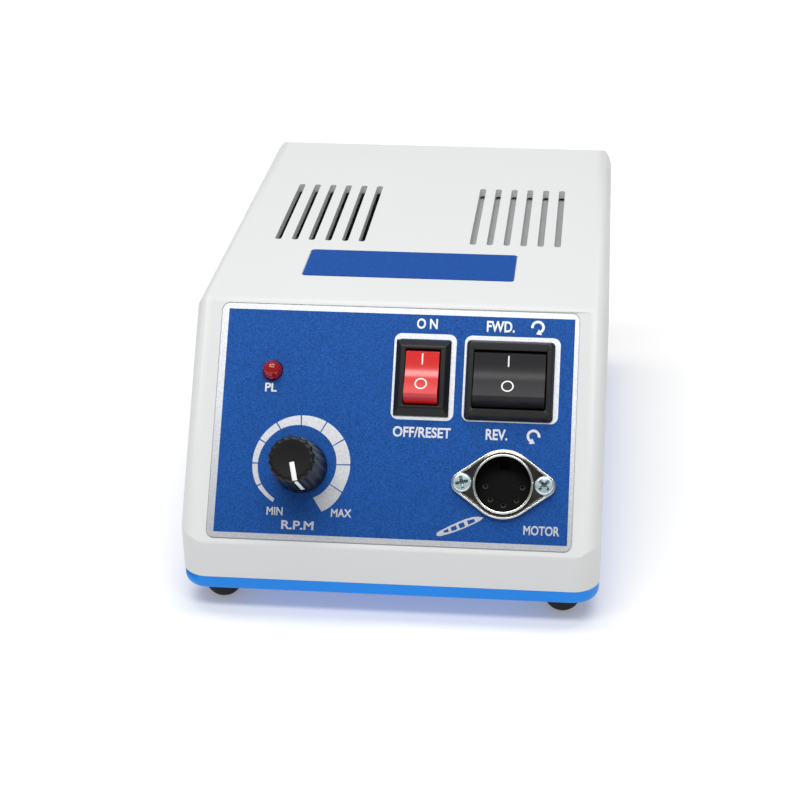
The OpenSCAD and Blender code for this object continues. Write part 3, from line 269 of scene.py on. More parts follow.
def broad_mottle(graph: Graph, scale: Socket, contrast: float = 2.0) -> Socket:
    """Slow change of shade over a face."""
    spread = graph.times(graph.less(graph.noise(scale, 4.0), 0.5), contrast)
    return graph.math("ADD", spread, 0.5, clamp=True)


def print_speckle(graph: Graph, scale: Socket) -> Socket:
    """Flat cells of different shade, as in a sprayed metallic print."""
    cells = graph.node("TexVoronoi", Vector=graph.spot(), Scale=scale)
    return graph.node("SeparateColor", Color=cells.outputs["Color"]).outputs[0]


def hairlines(graph: Graph, along: Socket, across: Socket) -> Socket:
    """Fine lines along one direction of the row frame, as left by brushing or drawing."""
    stretch = graph.node("CombineXYZ", X=along, Y=across, Z=across).outputs[0]
    return graph.noise(1.0, 3.0, graph.node("Mapping", Vector=graph.spot(),
                                            Scale=stretch).outputs[0])


def height_share(graph: Graph, low: Socket, high: Socket) -> Socket:
    """Share that falls from one to none between two heights of the row frame."""
    left, whole = graph.less(high, graph.along(2)), graph.less(high, low)
    return graph.math("DIVIDE", left, whole, clamp=True)


def settled_dust(graph: Graph, amount: Socket, steepness: float = 3.0, patches: float = 500.0,
                 bare: float = 0.42, contrast: float = 4.0) -> Socket:
    """Dust that has settled on faces that look up.

    Args:
        graph: The group's graph.
        amount: Most dust that a face gets.
        steepness: How fast it thins out as faces tilt.
        patches: Patches per metre.
        bare: Value of the noise up to which a face is bare.
        contrast: How sharply the patches end.

    Returns:
        The dust's mask.
    """
    normal = graph.node("SeparateXYZ", Vector=graph.node("NewGeometry").outputs["Normal"])
    up = graph.math("POWER", graph.math("MAXIMUM", normal.outputs[2], 0.0), steepness)
    thick = graph.less(graph.noise(patches, 5.0), bare)
    patch = graph.math("MULTIPLY", thick, contrast, clamp=True)
    return graph.math("MULTIPLY", graph.times(up, patch), amount, clamp=True)


# Finishes


@dataclass(frozen=True)
class Finish:
    """A surface finish. Grain and mottle are in marks per metre, depths in millimetres."""

    name: str
    colour: Colour
    roughness: float
    metallic: float = 0.0
    specular: float = 0.5
    grain: float = 2500.0
    grain_depth: float = 0.01
    gloss_spread: float = 0.08
    mottle: float = 40.0
    shade: float = 0.06
    # Paler marked edges: partly wear, partly a painted highlight.
    edge_wear_highlight: float = 0.0
    edge_wear_highlight_pale: float = 0.55
    dust: float = 0.0
    dust_colour: Colour = (0.55, 0.53, 0.5)
    glow: float = 0.0
    smoothest: float = 0.02

    def material(self) -> bpy.types.Material:
        """The material of this finish, built on first use.

        Returns:
            The material.
        """
        label = "finish_" + self.name
        material = bpy.data.materials.get(label)
        if material is None:
            material = bpy.data.materials.new(label)
            material.use_nodes = True
            graph = Graph(material.node_tree)
            self.fixed(graph)
            self.surface(graph)
            material.diffuse_color = (*self.colour, 1.0)
        return material

    def fixed(self, graph: Graph) -> None:
        """Set what is the same all over on the shader's own sockets.

        Args:
            graph: The material's graph.
        """
        values = {"Base Color": self.colour, "Roughness": self.roughness, "Metallic": self.metallic,
                  "Specular IOR Level": self.specular, "Emission Color": self.colour,
                  "Emission Strength": self.glow}
        for name, value in values.items():
            graph.surface(name, value)

    def shades(self, share: float) -> tuple[Colour, Colour]:
        """Darker and lighter end of the colour."""
        return (tuple(c * (1 - share) for c in self.colour),
                tuple(min(1.0, c * (1 + share)) for c in self.colour))

    def tint(self, graph: Graph) -> Socket:
        """Colour before edge wear with painted highlight, and dust."""
        return graph.mix(graph.effect(broad_mottle, Scale=self.mottle), *self.shades(self.shade))

    def surface(self, graph: Graph) -> None:
        """Link what changes over the surface.

        Args:
            graph: The material's graph.
        """
        colour = self.tint(graph)
        # Marked edges turn paler: partly wear, partly a painted highlight.
        if self.edge_wear_highlight > 0:
            edge = graph.node("Attribute")
            edge.attribute_name = "edge"
            pale = tuple(self.edge_wear_highlight_pale + (1 - self.edge_wear_highlight_pale) * c for c in self.colour)
            colour = graph.mix(graph.times(edge.outputs["Fac"], self.edge_wear_highlight), colour, pale)
        if self.dust > 0:
            dust = graph.effect(settled_dust, Amount=self.dust)
            colour = graph.mix(dust, colour, self.dust_colour)
        graph.surface("Base Color", colour)
        self.texture(graph, graph.effect(fine_grain, Scale=self.grain))

    def texture(self, graph: Graph, height: Socket) -> None:
        """Vary the roughness and the relief.

        Args:
            graph: The material's graph.
            height: Value from 0 to 1 that both follow.
        """
        low = max(self.smoothest, self.roughness - self.gloss_spread)
        high = min(1.0, self.roughness + self.gloss_spread)
        spread = graph.node("MapRange", **{"Value": height, "To Min": low, "To Max": high})
        graph.surface("Roughness", spread.outputs[0])
        if self.grain_depth > 0:
            bump = graph.node("Bump", Strength=1.0, Distance=self.grain_depth * MM, Height=height)
            graph.surface("Normal", bump.outputs[0])


@dataclass(frozen=True)
class SpeckledPrint(Finish):
    """Ink or bare foil with a metallic film's speckle; a painted sheen darkens it near the panel's
    foot.
    """

    speckle: float = 3200.0
    speckle_shade: float = 0.2
    evenness: float = 0.35
    # Painted sheen: the colour darkens towards the panel's foot, where less light is reflected.
    painted_sheen: float = 0.0
    painted_sheen_dark: float = 0.2
    painted_sheen_top: float = 0.7

    def tint(self, graph: Graph) -> Socket:
        """Speckled colour with a slow change of shade and a painted sheen.

        Args:
            graph: The material's graph.

        Returns:
            The colour.
        """
        cells = graph.effect(print_speckle, Scale=self.speckle)
        flecks = graph.mix(cells, *self.shades(self.speckle_shade))
        mottle = graph.effect(broad_mottle, Scale=self.mottle)
        even = graph.mix(graph.times(mottle, self.evenness), flecks, self.colour)
        if self.painted_sheen <= 0:
            return even
        # Painted sheen: mix towards a darker colour lower on the panel.
        high = CASE.brow()[1] * MM * self.painted_sheen_top
        low = graph.effect(height_share, Low=CASE.crease * MM, High=high)
        painted_sheen_shade = tuple(c * self.painted_sheen_dark for c in self.colour)
        return graph.mix(graph.times(low, self.painted_sheen), even, painted_sheen_shade)


@dataclass(frozen=True)
class DrawnMetal(Finish):
    """Bare or plated metal with hairlines."""

    metallic: float = 1.0
    gloss_spread: float = 0.1
    along: float = 60.0
    across: float = 5000.0

    def surface(self, graph: Graph) -> None:
        """Link colour and hairlines."""
        graph.surface("Base Color", self.tint(graph))
        self.texture(graph, graph.effect(hairlines, Along=self.along, Across=self.across))


@dataclass(frozen=True)
class ClearLens(Finish):
    """Coloured clear plastic or glass."""

    clearness: float = 0.8
    bend: float = 1.49

    def surface(self, graph: Graph) -> None:
        """Set the clear body and link a slight change of colour.

        Args:
            graph: The material's graph.
        """
        graph.surface("Transmission Weight", self.clearness)
        graph.surface("IOR", self.bend)
        graph.surface("Base Color", self.tint(graph))


@dataclass(frozen=True)
class Layered(Finish):
    """Thin layers, such as laminations or turns of wire, seen as lines across one axis."""

    layers: float = 2000.0
    axis: int = 1

    def tint(self, graph: Graph) -> Socket:
        """Lines of darker and lighter colour.

        Args:
            graph: The material's graph.

        Returns:
            The colour.
        """
        wave = graph.math("SINE", graph.times(graph.along(self.axis), self.layers * 2 * math.pi))
        share = graph.math("ADD", graph.times(wave, 0.5), 0.5, clamp=True)
        return graph.mix(share, *self.shades(self.shade))


SHELL = Finish("white_shell", screen(222, 223, 223), 0.46, grain=1500, grain_depth=0.012,
               shade=0.012, gloss_spread=0.07, mottle=25, edge_wear_highlight=0.1)
BASE = Finish("blue_base", screen(10, 138, 240), 0.36, specular=0.3, grain=1800, grain_depth=0.008,
              shade=0.05, edge_wear_highlight=0.02)
RUBBER = Finish("black_rubber", screen(38, 37, 40), 0.72, specular=0.3, grain=3000,
                grain_depth=0.02, shade=0.15, dust=0.1)
FOIL = SpeckledPrint("silver_foil", (0.8, 0.822, 0.87), 0.42, metallic=0.6, grain=4200,
                     grain_depth=0.006, gloss_spread=0.12, speckle=3600, speckle_shade=0.14,
                     painted_sheen=0.4)
INK = SpeckledPrint("label_blue", screen(29, 83, 160), 0.4, specular=0.12, grain=4200,
                    grain_depth=0.006, speckle=3700, speckle_shade=0.38, mottle=60, painted_sheen=0.2)
TOP_INK = SpeckledPrint("label_plain", screen(28, 78, 156), 0.45, specular=0.1, grain=4200,
                        grain_depth=0.004, speckle=2300, speckle_shade=0.14, mottle=60)
TRIM = Finish("bezel_black", screen(22, 22, 25), 0.4, specular=0.35, grain=2600, shade=0.1,
              edge_wear_highlight=0.008)
GLOSSY = Finish("black_gloss", screen(22, 22, 26), 0.3, specular=0.26, grain=2600,
                grain_depth=0.006, shade=0.08, edge_wear_highlight=0.006)
INSERT = Finish("insert_black", screen(9, 9, 10), 0.5, specular=0.12, grain=2600, grain_depth=0.006,
                shade=0.1)
RED = Finish("red_plastic", screen(216, 14, 12), 0.2, specular=0.8, grain=2200, grain_depth=0.003,
             gloss_spread=0.05, shade=0.05, edge_wear_highlight=0.01)
MARK = Finish("white_mark", screen(246, 246, 244), 0.5, grain=3000, grain_depth=0.004, shade=0.02)
KNOB = Finish("knob_black", screen(12, 12, 14), 0.36, specular=0.32, grain=2400, shade=0.12,
              edge_wear_highlight=0.004, dust=0.01)
NICKEL = DrawnMetal("nickel", (0.74, 0.725, 0.695), 0.14, gloss_spread=0.05, grain_depth=0.0,
                    shade=0.05, mottle=300, across=2600)
# Painted shade: nickel darkened for the flange's lower face, standing for its dark reflections.
SHADED_NICKEL = DrawnMetal("nickel_face_shade", (0.085, 0.084, 0.08), 0.14, gloss_spread=0.06,
                         grain_depth=0.0005, shade=0.35, mottle=260, across=2600)
ZINC = DrawnMetal("zinc", (0.73, 0.89, 0.97), 0.24, metallic=0.8, grain_depth=0.0005, shade=0.12,
                  mottle=500)
# Painted shade: darker zinc for the faces of the cross recesses.
RECESS_SHADE = DrawnMetal("zinc_recess_shade", (0.17, 0.25, 0.29), 0.3, grain_depth=0.0005, shade=0.3,
                    mottle=900)
STEEL = DrawnMetal("steel", (0.56, 0.57, 0.58), 0.34, grain_depth=0.002, shade=0.08)
BRASS = DrawnMetal("brass", (0.72, 0.53, 0.26), 0.28, grain_depth=0.001, shade=0.1)
# Painted shade: contacts darkened as they sit deep in the socket's holes.
SHADED_CONTACT = DrawnMetal("contact_shade", (0.13, 0.13, 0.13), 0.35, grain_depth=0.001, shade=0.2)
SINK = DrawnMetal("sink_grey", (0.44, 0.455, 0.465), 0.5, metallic=0.0, grain_depth=0.003,
                  shade=0.04, across=3000)
PLATE = DrawnMetal("plate_silver", (0.72, 0.73, 0.74), 0.36, gloss_spread=0.12, grain_depth=0.003,
                   shade=0.05)
LENS = ClearLens("red_lens", (0.42, 0.004, 0.007), 0.07, specular=0.6, clearness=0.3, shade=0.12,
                 mottle=400)
CORE = Layered("core_steel", screen(70, 70, 74), 0.5, metallic=0.6, layers=2000, axis=1, shade=0.3)
WIRE = Layered("copper_wire", (0.55, 0.27, 0.11), 0.35, metallic=0.8, layers=1800, axis=2,
               shade=0.35)
IVORY = Finish("ivory_plastic", screen(228, 222, 200), 0.5, shade=0.05)
BOARD = Finish("board_green", screen(28, 110, 62), 0.35, shade=0.12, mottle=400)
SLEEVE = Finish("sleeve_blue", screen(45, 55, 110), 0.3, shade=0.1)
RELAY = Finish("relay_blue", screen(52, 104, 184), 0.35, shade=0.06)
GLASS = ClearLens("fuse_glass", (0.94, 0.97, 0.96), 0.03, clearness=1.0, shade=0.02)
INSULATION = Finish("lead_red", screen(160, 34, 28), 0.45, shade=0.1)
FLOOR = Finish("pale_floor", (0.76, 0.76, 0.76), 0.8, specular=0.2, grain=300, grain_depth=0.02,
               shade=0.006, mottle=3, glow=0.32)


# Shaping


class Form:
    """A mesh in the making, in millimetres on one face of the case."""

    def __init__(self, mesh: Optional[bpy.types.Mesh] = None) -> None:
        """Start from a mesh, or empty, with a layer that marks worn and painted-highlight edges.

        Args:
            mesh: Mesh to start from.
        """
        self.bm = bmesh.new()
        if mesh is not None:
            self.bm.from_mesh(mesh)
        layers = self.bm.verts.layers.float
        self.edge = layers.get("edge") or layers.new("edge")

    @classmethod
    def sheet(cls, width: float, length: float, radius: float = 0.0, steps: int = 8) -> "Form":
        """A flat rectangle with rounded corners.

        Args:
            width: Size along X.
            length: Size along Y.
            radius: Corner radius.
            steps: Segments in each corner.

        Returns:
            The form, with one face.
        """
        form = cls()
        bmesh.ops.create_grid(form.bm, x_segments=1, y_segments=1, size=0.5)
        bmesh.ops.scale(form.bm, vec=(width, length, 1), verts=form.bm.verts)
        if radius > 0:
            bmesh.ops.bevel(form.bm, geom=form.bm.verts[:], affect="VERTICES", offset=radius,
                            segments=steps, profile=0.5, material=-1, clamp_overlap=True)
        return form

    @classmethod
    def disc(cls, radius: float, steps: int) -> "Form":
        """A flat disc.

        Args:
            radius: Radius of the disc.
            steps: Sides of the disc.

        Returns:
            The form, with one face.
        """
        form = cls()
        bmesh.ops.create_circle(form.bm, cap_ends=True, segments=steps, radius=radius)
        return form

    @classmethod
    def outline(cls, points: Sequence[Point], holes: Sequence[Sequence[Point]] = ()) -> "Form":
        """A flat face, with openings where they are given.

        Args:
            points: Corners of the face in order.
            holes: Corners of each opening in order.

        Returns:
            The form, flat.
        """
        form = cls()
        loops = [[form.bm.verts.new((x, y, 0)) for x, y in ring] for ring in (points, *holes)]
        if not holes:
            form.bm.faces.new(loops[0])
            return form
        edges = [form.bm.edges.new(pair)
                 for ring in loops for pair in zip(ring, ring[1:] + ring[:1])]
        bmesh.ops.triangle_fill(form.bm, use_beauty=True, use_dissolve=False, edges=edges)
        return form

    @classmethod
    def turned(cls, profile: Sequence[Point], steps: int) -> "Form":
        """A solid turned about Z from a profile of radius and height.

        Args:
            profile: Points of the profile, closed through the axis or back to its start.
            steps: Sides of the solid.

        Returns:
            The closed form.
        """
        form = cls()
        verts = [form.bm.verts.new((r, 0, z)) for r, z in profile]
        edges = [form.bm.edges.new(pair) for pair in zip(verts, verts[1:])]
        if profile[0][0] > 0 and profile[-1][0] > 0:
            edges.append(form.bm.edges.new((verts[-1], verts[0])))
        bmesh.ops.spin(form.bm, geom=verts + edges, cent=(0, 0, 0), axis=(0, 0, 1), dvec=(0, 0, 0),
                       angle=2 * math.pi, steps=steps, use_merge=True, use_duplicate=False)
        bmesh.ops.remove_doubles(form.bm, verts=form.bm.verts, dist=WELD)
        return form.faced()

    @classmethod
    def lofted(cls, rings: Sequence[tuple[Sequence[Point], float]], tube: bool = False) -> "Form":
        """A skin through rings of points, each at its own height.

        Args:
            rings: Rings with as many points each, and their heights.
            tube: Whether the last ring joins the first; otherwise both ends are closed.

        Returns:
            The closed form.
        """
        form = cls()
        points, z = rings[0]
        ring = [form.bm.verts.new((x, y, z)) for x, y in points]
        start = edges = [form.bm.edges.new(pair) for pair in zip(ring, ring[1:] + ring[:1])]
        for points, z in [*rings[1:], rings[0]] if tube else rings[1:]:
            made = bmesh.ops.extrude_edge_only(form.bm, edges=edges)["geom"]
            fresh = {g for g in made if isinstance(g, bmesh.types.BMVert)}
            edges = [g for g in made
                     if isinstance(g, bmesh.types.BMEdge) and fresh.issuperset(g.verts)]
            ring = [next(e.other_vert(v) for e in v.link_edges if e.other_vert(v) in fresh)
                    for v in ring]
            for vert, (x, y) in zip(ring, points):
                vert.co = (x, y, z)
        if tube:
            bmesh.ops.remove_doubles(form.bm, verts=form.bm.verts, dist=FINE_WELD)
        else:
            for loop in (start, edges):
                bmesh.ops.contextual_create(form.bm, geom=loop)
        return form.faced()

    @classmethod
    def copied(cls, node: str, place: Place) -> "Form":
        """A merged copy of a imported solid, with its flat faces whole.

        Args:
            node: Name of the solid.
            place: Face of the case to set it out on.

        Returns:
            The form.
        """
        form = cls(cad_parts[node].data)
        form.bm.transform(place.matrix().inverted())
        bmesh.ops.remove_doubles(form.bm, verts=form.bm.verts, dist=CAD_WELD)
        bmesh.ops.dissolve_limit(form.bm, angle_limit=math.radians(FLAT_ANGLE),
                                 verts=form.bm.verts, edges=form.bm.edges,
                                 use_dissolve_boundaries=False, delimit={"NORMAL"})
        return form

    @classmethod
    def words(cls, text: str, width: float, height: float, depth: float,
              weight: float = 0.026) -> "Form":
        """Lettering that fills a box about the middle, on Z = 0.

        Args:
            text: The words.
            width: Width of the box.
            height: Height of the box.
            depth: Thickness of the print.
            weight: How much the strokes are thickened, as a share of the letter size.

        Returns:
            The form.
        """
        curve = bpy.data.curves.new("lettering", "FONT")
        curve.body = text
        curve.extrude = curve.bevel_depth = weight
        curve.bevel_resolution = 1
        curve.resolution_u = 5
        holder = bpy.data.objects.new("lettering", curve)
        bpy.context.scene.collection.objects.link(holder)
        shown = holder.evaluated_get(bpy.context.evaluated_depsgraph_get())
        mesh = bpy.data.meshes.new_from_object(shown)
        form = cls(mesh)
        bpy.data.objects.remove(holder)
        bpy.data.curves.remove(curve)
        bpy.data.meshes.remove(mesh)
        bmesh.ops.remove_doubles(form.bm, verts=form.bm.verts, dist=FINE_WELD)
        parts = list(zip(*(v.co for v in form.bm.verts)))
        low, high = Vector(map(min, parts)), Vector(map(max, parts))
        middle, size = (low + high) / 2, high - low
        middle.z = low.z
        bmesh.ops.translate(form.bm, vec=-middle, verts=form.bm.verts)
        share = (width / size.x, height / size.y, depth / size.z)
        bmesh.ops.scale(form.bm, vec=share, verts=form.bm.verts)
        return form

    def marked(self, pick: Callable[[Vector], bool]) -> "Form":
        """Give faces the second finish.

        Args:
            pick: Test that all corners of such a face pass.

        Returns:
            This form.
        """
        for face in self.bm.faces:
            face.material_index = int(all(pick(v.co) for v in face.verts))
        return self

    def faced(self) -> "Form":
        """Turn every face outwards."""
        bmesh.ops.recalc_face_normals(self.bm, faces=self.bm.faces)
        return self

    def raised(self, height: float) -> "Form":
        """Give flat faces a thickness along Z.

        Args:
            height: Thickness.

        Returns:
            This form.
        """
        made = bmesh.ops.extrude_face_region(self.bm, geom=self.bm.faces[:])["geom"]
        verts = [g for g in made if isinstance(g, bmesh.types.BMVert)]
        bmesh.ops.translate(self.bm, vec=(0, 0, height), verts=verts)
        return self.faced()

    def framed(self, width: float) -> "Form":
        """Open a flat face and leave a border.

        Args:
            width: Width of the border.

        Returns:
            This form.
        """
        faces = self.bm.faces[:]
        bmesh.ops.inset_region(self.bm, faces=faces, thickness=width, use_even_offset=True,
                               use_boundary=True)
        bmesh.ops.delete(self.bm, geom=faces, context="FACES_ONLY")
        return self

    def softened(self, width: float, segments: int, angle: float,
                 pick: Callable[[bmesh.types.BMEdge], bool] = lambda edge: True) -> "Form":
        """Round the sharp edges and mark them for wear and a painted highlight.

        Args:
            width: Width of the rounding.
            segments: Segments of the rounding.
            angle: Edges sharper than this many degrees are rounded.
            pick: Test that an edge has to pass.

        Returns:
            This form.
        """
        limit = math.radians(angle)
        edges = [e for e in self.bm.edges
                 if e.is_manifold and e.calc_face_angle(0.0) > limit and pick(e)]
        made = bmesh.ops.bevel(self.bm, geom=edges, affect="EDGES", offset=width,
                               offset_type="OFFSET", segments=segments, profile=0.5, material=-1,
                               clamp_overlap=True)
        for face in made["faces"]:
            for vert in face.verts:
                vert[self.edge] = 1.0
        return self

    def cut(self, point: Spot, normal: Spot) -> "Form":
        """Cut away what lies beyond a plane and close the cut.

        Args:
            point: A point on the plane.
            normal: Direction that is cut away.

        Returns:
            This form.
        """
        geom = self.bm.verts[:] + self.bm.edges[:] + self.bm.faces[:]
        bmesh.ops.bisect_plane(self.bm, geom=geom, dist=FINE_WELD, plane_co=point, plane_no=normal,
                               clear_outer=True)
        bmesh.ops.holes_fill(self.bm, edges=[e for e in self.bm.edges if e.is_boundary], sides=0)
        return self

    def moved(self, x: float = 0.0, y: float = 0.0, z: float = 0.0, turn: float = 0.0,
              lean: float = 0.0) -> "Form":
        """Lean about X, turn about Z, then move, in degrees and millimetres."""
        self.bm.transform(Matrix.Translation((x, y, z))
                          @ Matrix.Rotation(math.radians(turn), 4, "Z")
                          @ Matrix.Rotation(math.radians(lean), 4, "X"))
        return self

    def upright(self) -> "Form":
        """Stand the form up, so that X becomes Y, Y becomes Z and Z becomes X."""
        self.bm.transform(Matrix.Rotation(math.pi / 2, 4, "Z")
                          @ Matrix.Rotation(math.pi / 2, 4, "X"))
        return self

    def joined(self, *others: "Form") -> "Form":
        """Take other forms into this one.

        Args:
            *others: Forms to take in.

        Returns:
            This form.
        """
        for other in others:
            mesh = other.mesh("joined")
            self.bm.from_mesh(mesh)
            bpy.data.meshes.remove(mesh)
        return self

    def mesh(self, name: str) -> bpy.types.Mesh:
        """End the form as a mesh.

        Args:
            name: Name of the mesh.

        Returns:
            The mesh.
        """
        mesh = bpy.data.meshes.new(name)
        self.bm.to_mesh(mesh)
        self.bm.free()
        return mesh

    def piece(self, name: str, finish: Finish, body: Body = Body.CASE, place: Place = Place.PANEL,
              replaces: Sequence[str] = (), slot: str = "", sharp: float = 35.0, even: bool = False,
              second: Optional[Finish] = None) -> None:
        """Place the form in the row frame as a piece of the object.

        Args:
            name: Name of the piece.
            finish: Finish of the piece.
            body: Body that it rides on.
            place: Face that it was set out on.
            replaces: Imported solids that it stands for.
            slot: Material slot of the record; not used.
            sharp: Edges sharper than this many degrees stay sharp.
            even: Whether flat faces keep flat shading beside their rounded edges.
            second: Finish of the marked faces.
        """
        self.bm.transform(place.matrix())
        mesh = self.mesh(name)
        mesh.polygons.foreach_set("use_smooth", [True] * len(mesh.polygons))
        mesh.set_sharp_from_angle(angle=math.radians(sharp))
        for layer in filter(None, (finish, second)):
            mesh.materials.append(layer.material())
        obj = bpy.data.objects.new(name, mesh)
        bpy.context.scene.collection.objects.link(obj)
        if even:
            normals = obj.modifiers.new("even_normals", "WEIGHTED_NORMAL")
            normals.keep_sharp = True
        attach(obj, body.value)
        if replaces:
            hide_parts(*replaces)
        LOG.info("%s: %d faces on %s", name, len(mesh.polygons), body.value)


def arc(radius: float, start: float, end: float, steps: int, x: float = 0.0,
        y: float = 0.0) -> list[Point]:
    """Points of an arc about a centre, between two angles in degrees."""
    angles = (math.radians(start + (end - start) * k / steps) for k in range(steps + 1))
    return [(x + radius * math.cos(a), y + radius * math.sin(a)) for a in angles]


def rounded(width: float, length: float, radius: float, steps: int = 6) -> list[Point]:
    """Points of a rectangle with rounded corners about the middle.

    Args:
        width: Size along X.
        length: Size along Y.
        radius: Corner radius.
        steps: Segments in each corner.

    Returns:
        The points in order.
    """
    x, y = width / 2 - radius, length / 2 - radius
    corners = ((0, x, y), (90, -x, y), (180, -x, -y), (270, x, -y))
    return [p for start, a, b in corners for p in arc(radius, start, start + 90, steps, a, b)]


# Case


@dataclass
class CaseShell:
    """White cover, blue base and rubber feet."""

    foot_x: float = 47.0
    foot_y: Point = (10.0, 160.0)
    foot_r: float = 5.2
    foot_flat: float = 2.5
    foot_hollow: Spot = (1.8, 2.0, 0.25)  # inner and outer radius, height
    foot_top: Spot = (0.3, 0.35, 0.02)  # inset, drop, gap under the base
    base_soft: float = 0.5
    base_inset: float = 0.1
    base_rim: float = 2.2
    crease_soft: float = 1.3
    crease_reach: float = 2.0
    crease_slope: float = 0.04
    skin: float = 1.0
    slack: float = 0.1

    def build(self) -> None:
        """Build the cover, the base and the feet."""
        self.cover()
        self.base()
        self.feet()

    def cover(self) -> None:
        """White cover with its slots and openings, and a soft crease round its front corners."""
        side, front = CASE.width / 2 - CASE.corner, CASE.corner

        def bent(spot: Vector) -> bool:
            """Whether a point is on the outer face of a front corner, near the crease."""
            out, ahead = abs(spot.x) - side, spot.y - front
            return (math.hypot(out, ahead) > front - self.skin and out > -self.slack and ahead < 0
                    and abs(spot.z - CASE.crease) < self.crease_reach)

        def creased(edge: bmesh.types.BMEdge) -> bool:
            """Whether an edge is part of the crease round a front corner."""
            a, b = (v.co for v in edge.verts)
            return bent(a) and bent(b) and abs(a.x - b.x) > self.crease_slope * abs(a.z - b.z)

        form = Form.copied("top_cover", Place.CASE)
        form.softened(self.crease_soft, segments=4, angle=5, pick=creased)
        form.piece("cover", SHELL, place=Place.CASE, replaces=["top_cover"], slot="white_shell",
                   sharp=28, even=True)

    def base(self) -> None:
        """Blue tray with its lip, screw recesses and posts, and a smooth lower edge."""
        form = Form.copied("base_tray", Place.CASE)
        core = Vector((CASE.width / 2 - CASE.corner, CASE.depth / 2 - CASE.corner))
        for vert in form.bm.verts:
            flat = Vector((vert.co.x, vert.co.y - CASE.depth / 2))
            near = Vector([max(-c, min(c, f)) for c, f in zip(core, flat)])
            out = flat - near
            if vert.co.z < CASE.cover_low + HAIR and out.length > CASE.corner - self.base_rim:
                rise = min(1.0, (vert.co.z - CASE.base_low) / CASE.base_edge)
                reach = CASE.corner - self.base_inset - self.base_soft * (1 - rise) ** 2
                flat = near + out.normalized() * reach
                vert.co.xy = flat.x, flat.y + CASE.depth / 2
        form.piece("base", BASE, place=Place.CASE, replaces=["base_tray"], slot="blue_base",
                   sharp=28, even=True)

    def feet(self) -> None:
        """Domed rubber feet, flat where they stand."""
        rise = math.sqrt(self.foot_r ** 2 - self.foot_flat ** 2)
        start = -math.degrees(math.asin(rise / self.foot_r))
        near, far, up = self.foot_hollow
        inset, drop, gap = self.foot_top
        top = CASE.base_low - gap
        profile = [(0, up), (near, up), (far, 0), *arc(self.foot_r, start, 0, steps=10, y=rise)]
        profile += [(self.foot_r, CASE.base_low - drop), (self.foot_r - inset, top), (0, top)]
        feet = Form()
        for x in (-self.foot_x, self.foot_x):
            for y in self.foot_y:
                feet.joined(Form.turned(profile, steps=48).moved(x, y))
        feet.piece("feet", RUBBER, place=Place.CASE, replaces=["rubber_feet"], slot="black_rubber")


# Labels


@dataclass(frozen=True)
class Word:
    """A printed word: its middle on the panel and the box that it fills."""

    name: str
    text: str
    u: float
    v: float
    width: float
    height: float


@dataclass(frozen=True)
class Surround:
    """A printed frame round a switch: its middle, outer size and band, partly under the bezel."""

    u: float
    v: float
    width: float
    length: float
    band: float
    corner: float = 2.0

    def form(self) -> Form:
        """The flat frame."""
        sheet = Form.sheet(self.width, self.length, self.corner)
        return sheet.framed(self.band).moved(self.u, self.v)


class Spin(Enum):
    """Way that a round arrow turns."""

    CLOCKWISE = -1
    ANTICLOCKWISE = 1


